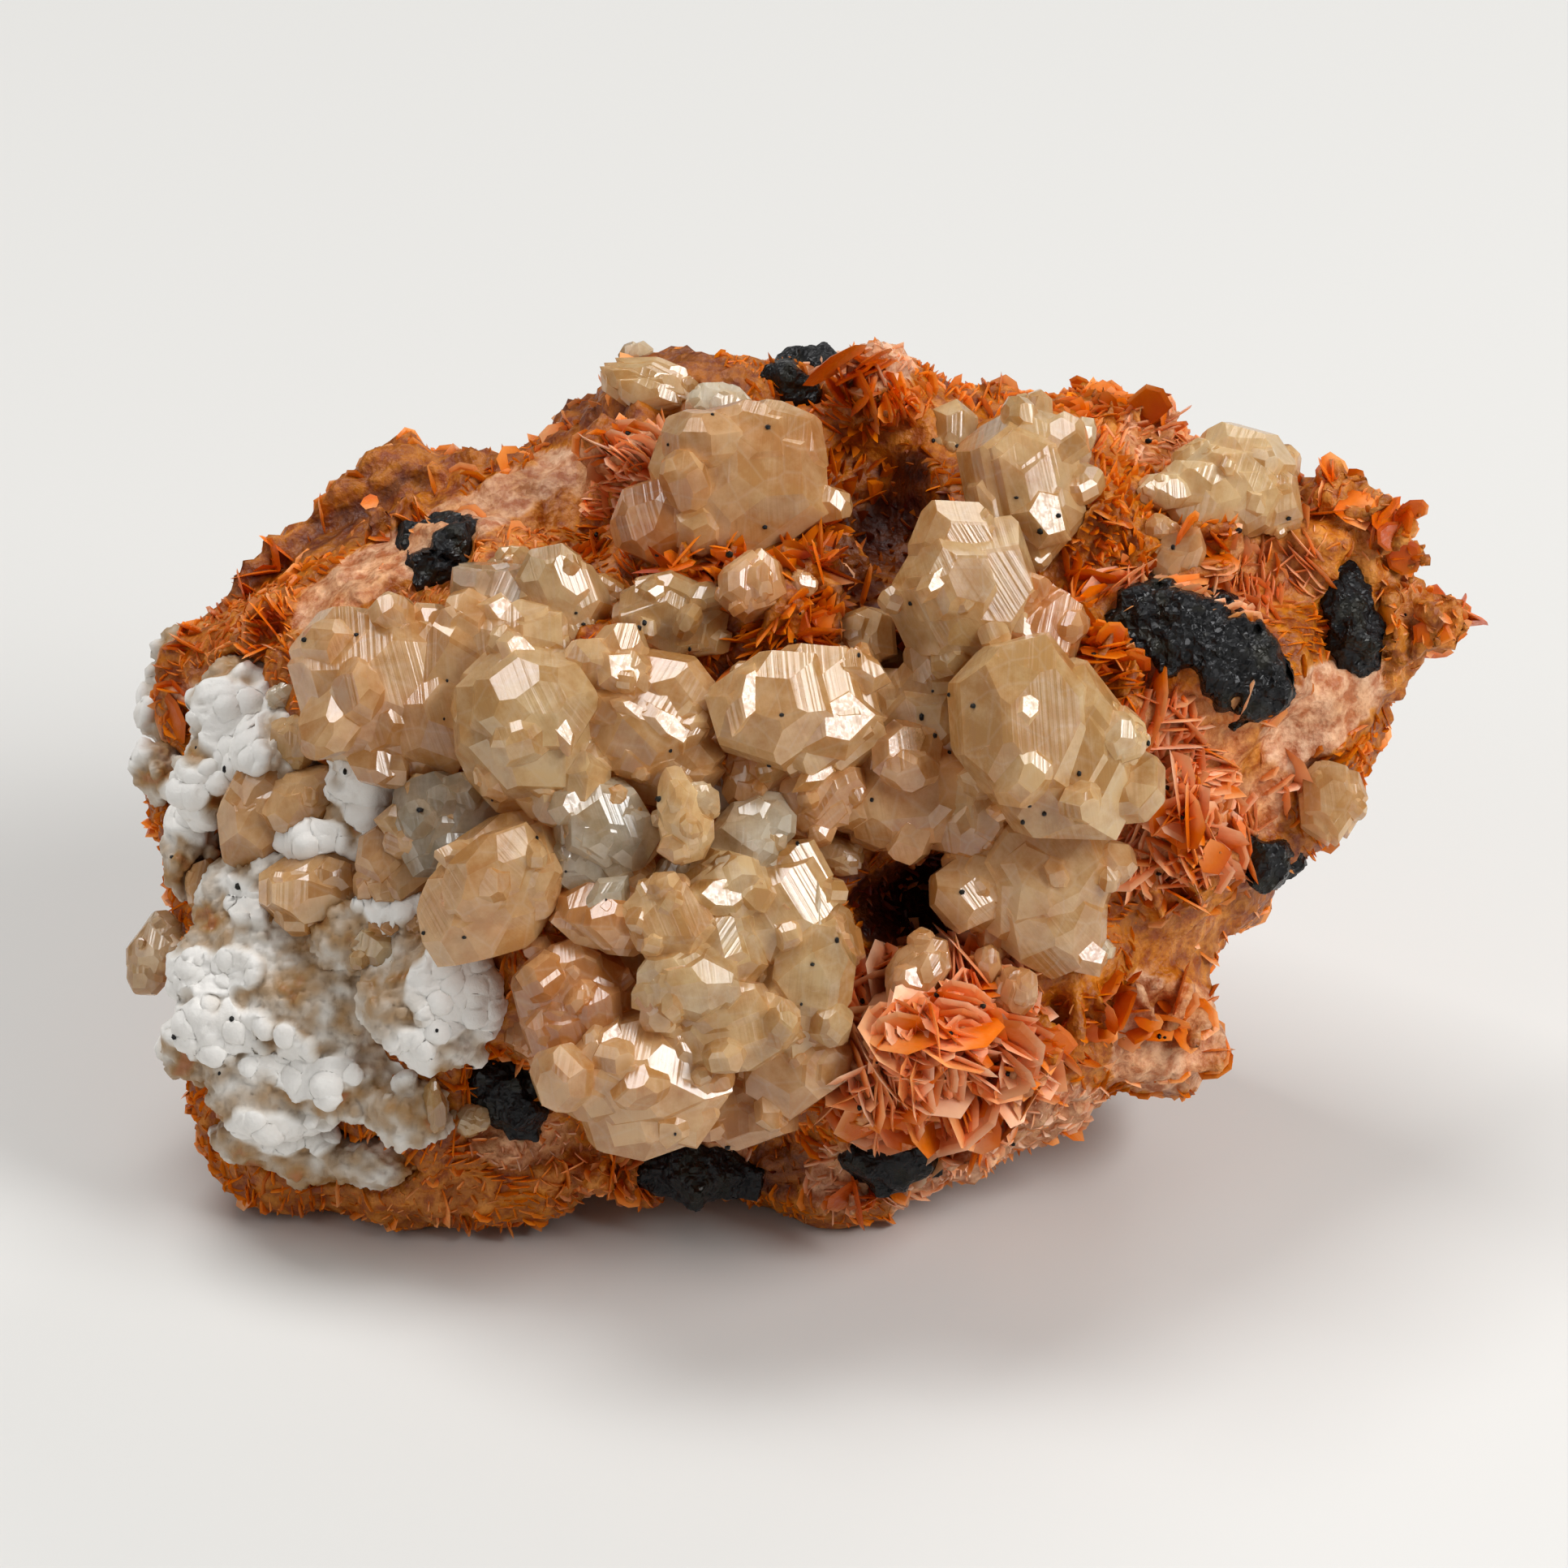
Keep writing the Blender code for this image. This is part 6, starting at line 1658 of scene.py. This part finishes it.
WHITE_LOBES = [
    Patch("upper_left", -29.4, 2.6, 2.2, 3.4, -8),
    Patch("middle", -22.4, 0.2, 1.7, 3.8, 4),
    Patch("middle_tail", -24.9, -2.9, 2.0, 0.9, 15),
    Patch("middle_side", -20.2, 1.0, 0.9, 0.8, 0),
    Patch("right_lobe", -17.6, -11.4, 2.4, 2.8, 0),
    Patch("shore", -21.1, -6.4, 2.0, 1.2, 0),
    Patch("left_column", -31.9, -1.2, 1.3, 1.8, 0),
    Patch("left_bank", -30.7, -10.1, 3.4, 1.3, 5),
    Patch("islet_foot", -28.7, -6.4, 1.4, 1.3, 0),
    Patch("lower_left", -30.4, -13.4, 3.2, 1.5, 0),
    Patch("low_middle", -26.2, -15.2, 3.6, 1.5, -10),
    Patch("low_foot", -26.8, -18.6, 3.2, 1.1, -5),
    Patch("left_edge", -35.0, 5.0, 1.2, 4.4, 0),
    Patch("low_right", -20.0, -14.8, 1.3, 1.6, 20),
]


@dataclass
class WhiteCrust:
    """The chalk-white crust over the lower left, thick in its lobes and thin and granular between them."""

    finish: CrustFinish = field(default_factory=CrustFinish)
    seed: int = 7
    voxel_mm: float = 0.16
    thin_mm: float = 0.1
    lobe_rise_mm: float = 0.55
    knob_area_mm2: float = 0.9
    knob_mm: tuple[float, float] = (0.18, 0.55)
    fine_mm: float = 0.36
    fine_rise_mm: float = 0.2
    ragged_mm: float = 1.3
    ragged: float = 0.6

    def build(self) -> Piece:
        """Builds the crust as one piece over all its solids.

        Returns:
            The finished piece.
        """
        nodes = nodes_starting("crust")
        rng = np.random.default_rng(self.seed)
        piece = Piece("white_crust", merged_nodes(nodes))
        area = sum(p.area for p in piece.mesh.polygons) / MM ** 2
        points, normals = scattered(piece.mesh, int(area / self.knob_area_mm2), rng)
        bm = bmesh.new()
        bm.from_mesh(piece.mesh)
        for point, normal in zip(points, normals):
            size = rng.uniform(*self.knob_mm)
            stretch = Matrix.Diagonal((*rng.uniform(0.7, 1.3, 3), 1.0))
            place = Vector(point) - Vector(normal) * size * rng.uniform(0.1, 0.6) * MM
            bmesh.ops.create_icosphere(
                bm, subdivisions=1, radius=size * MM, matrix=Matrix.Translation(place) @ stretch)
        bm.to_mesh(piece.mesh)
        bm.free()
        piece.modify("REMESH", mode="VOXEL", voxel_size=self.voxel_mm * MM)
        piece.modify("SMOOTH", factor=0.5, iterations=1)
        points, outward = positions(piece.mesh), directions(piece.mesh)
        lobes = self._lobes(points)
        grain = smooth_noise(points, self.fine_mm, 2) + 0.6 * smooth_noise(points, self.fine_mm / 2, 4)
        rise = self.thin_mm + lobes * self.lobe_rise_mm + grain * self.fine_rise_mm * (1.0 - 0.5 * lobes)
        rise[points[:, 2] < 0.5 * MM] = 0.0
        move_points(piece.mesh, points + outward * rise[:, None] * MM)
        stain = smooth_noise(points, 2.2, 6) * 0.5 + smooth_noise(points, 0.8, 8) * 0.35
        write_attribute(piece.mesh, "grey", np.clip((0.54 + stain) * (1.0 - lobes), 0.0, 1.0))
        piece.finish(self.finish.material(), "white_crust", nodes)
        return piece

    def _lobes(self, points: np.ndarray) -> np.ndarray:
        """Says how deep each point lies in a thick lobe, from 0 to 1, with ragged edges."""
        places = PLANE.places(points)
        near = np.stack([p.nearness(places) for p in WHITE_LOBES], axis=1).min(axis=1)
        near += smooth_noise(points, self.ragged_mm, 14) * self.ragged
        return np.clip((1.12 - near) / 0.22, 0.0, 1.0)


GALENA_FORMS = [
    Patch("right_head", 20.6, 8.5, 3.1, 2.1, -10),
    Patch("right_middle", 24.0, 6.9, 3.1, 2.3, -35),
    Patch("right_foot", 26.2, 4.4, 2.0, 1.7, -50),
    Patch("far_right_top", 30.2, 10.1, 1.5, 2.0, 0),
    Patch("far_right_foot", 30.8, 7.8, 1.5, 2.0, 10),
    Patch("left_top", -17.5, 13.1, 1.6, 1.1, 30),
    Patch("left_foot", -18.9, 11.3, 1.7, 1.2, -30),
    Patch("top", -0.3, 21.1, 1.9, 1.5, 20),
    Patch("lower_right", 25.6, -4.3, 1.5, 1.5, 30),
]


@dataclass
class Galena:
    """The dark galena set into the barite. Outside its forms it sinks away, so its outlines are ragged."""

    finish: GalenaFinish = field(default_factory=GalenaFinish)
    seed: int = 23
    voxel_mm: float = 0.22
    swell_mm: float = 0.1
    block_mm: tuple[float, float] = (0.35, 1.25)
    block_area_mm2: float = 1.5
    ragged_mm: float = 1.1
    ragged: float = 0.4
    border: tuple[float, float] = (1.0, 1.2)
    reach: float = 2.4
    sink_mm: float = 1.4
    seat_mm: float = 0.5

    def _sunk(self, points: np.ndarray) -> np.ndarray:
        """Says how far each point lies outside the forms near it, from 0 to 1."""
        places = PLANE.places(points)
        near = np.stack([p.nearness(places) for p in GALENA_FORMS], axis=1).min(axis=1)
        share = near + smooth_noise(points, self.ragged_mm, 17) * self.ragged
        least, most = self.border
        return np.where(near < self.reach, np.clip((share - least) / (most - least), 0.0, 1.0), 0.0)

    def build(self) -> Piece:
        """Builds all the galena as one piece.

        Returns:
            The finished piece.
        """
        nodes = nodes_starting("galena")
        rng = np.random.default_rng(self.seed)
        piece = Piece("galena_lumps", merged_nodes(nodes))
        piece.modify("DISPLACE", strength=self.swell_mm * MM, mid_level=0.0)
        area = sum(p.area for p in piece.mesh.polygons) / MM ** 2
        points, normals = scattered(piece.mesh, int(area / self.block_area_mm2), rng)
        bm = bmesh.new()
        bm.from_mesh(piece.mesh)
        for point, normal in zip(points, normals):
            size = rng.uniform(*self.block_mm)
            turned = Matrix.Rotation(rng.uniform(0, math.tau), 4, Vector(rng.normal(0, 1, 3)).normalized())
            sunk = 0.75 if abs(Vector(normal).dot(PLANE.eye)) > 0.6 else 0.3
            place = Vector(point) - Vector(normal) * size * (sunk + rng.uniform(0.0, 0.25)) * MM
            bmesh.ops.create_cube(bm, size=size * 1.6 * MM, matrix=Matrix.Translation(place) @ turned)
        bm.to_mesh(piece.mesh)
        bm.free()
        piece.modify("REMESH", mode="VOXEL", voxel_size=self.voxel_mm * MM)
        piece.modify("SMOOTH", factor=0.5, iterations=1)
        points, outward = positions(piece.mesh), directions(piece.mesh)
        points = points + outward * smooth_noise(points, 0.45, 9)[:, None] * 0.14 * MM
        sunk = self.seat_mm + self._sunk(points) * self.sink_mm
        points -= np.array(PLANE.eye) * sunk[:, None] * MM
        move_points(piece.mesh, points)
        piece.finish(self.finish.material(), "galena", nodes, smooth=False)
        return piece


@dataclass
class Specks:
    """Small black specks on the crystals and the blades."""

    trees: list[BVHTree]
    seed: int = 5
    random_count: int = 90
    size_mm: tuple[float, float] = (0.1, 0.2)
    named: Sequence[tuple[float, float]] = (
        (8.0, 5.0), (8.9, 4.8), (8.1, 2.6), (8.9, 1.7), (14.0, -1.6), (13.2, -1.2), (-18.3, 3.5),
        (-19.6, -1.4), (13.8, 13.6), (21.4, -1.8), (19.6, 2.2), (9.0, -13.4), (12.0, -15.6), (5.0, -15.0),
        (-0.8, 1.0), (7.4, 3.6), (-11.2, 9.2), (-10.8, 8.6), (20.2, -13.6), (17.2, -17.2), (10.2, 4.2),
    )

    def build(self) -> Piece:
        """Builds the specks as one piece, each sunk half into what carries it.

        Returns:
            The finished piece.
        """
        rng = np.random.default_rng(self.seed)
        spots = list(self.named)
        while len(spots) < len(self.named) + self.random_count:
            spots.append((rng.uniform(-33, 34), rng.uniform(-22, 21)))
        bm = bmesh.new()
        eye = PLANE.camera_place
        for u, v in spots:
            aim = (PLANE.point(u, v) - eye).normalized()
            hits = [tree.ray_cast(eye, aim)[0] for tree in self.trees]
            hits = [hit for hit in hits if hit is not None]
            size = rng.uniform(*self.size_mm)
            stretch = Matrix.Diagonal((*rng.uniform(0.7, 1.4, 3), 1.0))
            if hits:
                nearest = min(hits, key=lambda hit: (hit - eye).length)
                bmesh.ops.create_icosphere(
                    bm, subdivisions=1, radius=size * MM, matrix=Matrix.Translation(nearest) @ stretch)
        piece = Piece("black_specks", bm)
        piece.finish(bpy.data.materials["tarnished_granular_galena"], "galena")
        return piece


@dataclass
class Stage:
    """The pale floor, the soft lights and the camera."""

    finish: FloorFinish = field(default_factory=FloorFinish)
    floor_m: float = 6.0
    frame_mm: float = 84.4
    sensor_mm: float = 36.0
    ambient: float = 0.22

    def build(self) -> None:
        """Builds the stage."""
        bm = bmesh.new()
        bmesh.ops.create_grid(bm, x_segments=1, y_segments=1, size=self.floor_m / 2)
        mesh = bpy.data.meshes.new("floor")
        bm.to_mesh(mesh)
        bm.free()
        floor = bpy.data.objects.new("floor", mesh)
        bpy.context.scene.collection.objects.link(floor)
        mesh.materials.append(self.finish.material())
        self._light("main_softbox", self._mirror(), 0.6, 0.28, 2.8)
        self._light("overhead_softbox", Vector((-0.3, 0.25, 1.0)), 0.8, 0.4, 3.6)
        self._light("left_fill", Vector((-1.0, -0.7, 0.7)), 0.9, 0.5, 1.1)
        self._light("back_rim", Vector((0.5, 1.0, 0.7)), 0.9, 0.4, 1.4)
        world = bpy.data.worlds.new("studio")
        world.use_nodes = True
        world.node_tree.nodes["Background"].inputs["Color"].default_value = linear_colour("#e9e8e6")
        world.node_tree.nodes["Background"].inputs["Strength"].default_value = self.ambient
        bpy.context.scene.world = world
        bpy.context.scene.view_settings.view_transform = "Standard"
        self._camera()

    def _mirror(self) -> Vector:
        """The direction from which a light flashes in the glint faces."""
        half = GLINT_DIRECTION
        return 2 * half.dot(PLANE.eye) * half - PLANE.eye

    def _light(self, name: str, towards: Vector, distance: float, size: float, power: float) -> None:
        """Adds one square soft light that looks at the specimen.

        Args:
            name: The light's name.
            towards: The direction from the specimen to the light.
            distance: How far it stands, in metres.
            size: Its side, in metres.
            power: Its power, in watts.
        """
        data = bpy.data.lights.new(name, "AREA")
        data.shape = "SQUARE"
        data.size = size
        data.energy = power
        light = bpy.data.objects.new(name, data)
        bpy.context.scene.collection.objects.link(light)
        away = towards.normalized()
        light.location = Vector(PLANE.centre) * MM + away * distance
        light.rotation_mode = "QUATERNION"
        light.rotation_quaternion = away.to_track_quat("Z", "Y")

    def _camera(self) -> None:
        """Adds the camera at the photograph's viewing angle."""
        data = bpy.data.cameras.new("camera")
        data.sensor_width = self.sensor_mm
        data.lens = self.sensor_mm * PLANE.distance / self.frame_mm
        data.clip_start = 0.01
        data.clip_end = 20.0
        camera = bpy.data.objects.new("camera", data)
        bpy.context.scene.collection.objects.link(camera)
        camera.location = PLANE.camera_place
        camera.rotation_mode = "QUATERNION"
        camera.rotation_quaternion = PLANE.eye.to_track_quat("Z", "Y")
        bpy.context.scene.camera = camera


def write_sizes() -> None:
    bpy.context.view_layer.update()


def main() -> None:
    """Builds the specimen from the ground up, then the stage."""
    logging.basicConfig(level=logging.INFO, format="%(message)s")
    crystals = CerussiteGroups().build()
    crust = WhiteCrust().build()
    galena = Galena().build()
    ground = BariteGround().build()
    cover = [piece.tree() for piece in (*crystals, crust)]
    dark = [galena.tree()]
    blades = BladeField(ground, cover, dark).build()
    Specks([*cover, *dark, *(piece.tree() for piece in blades)]).build()
    Stage().build()
    write_sizes()


if __name__ == "__main__":
    main()
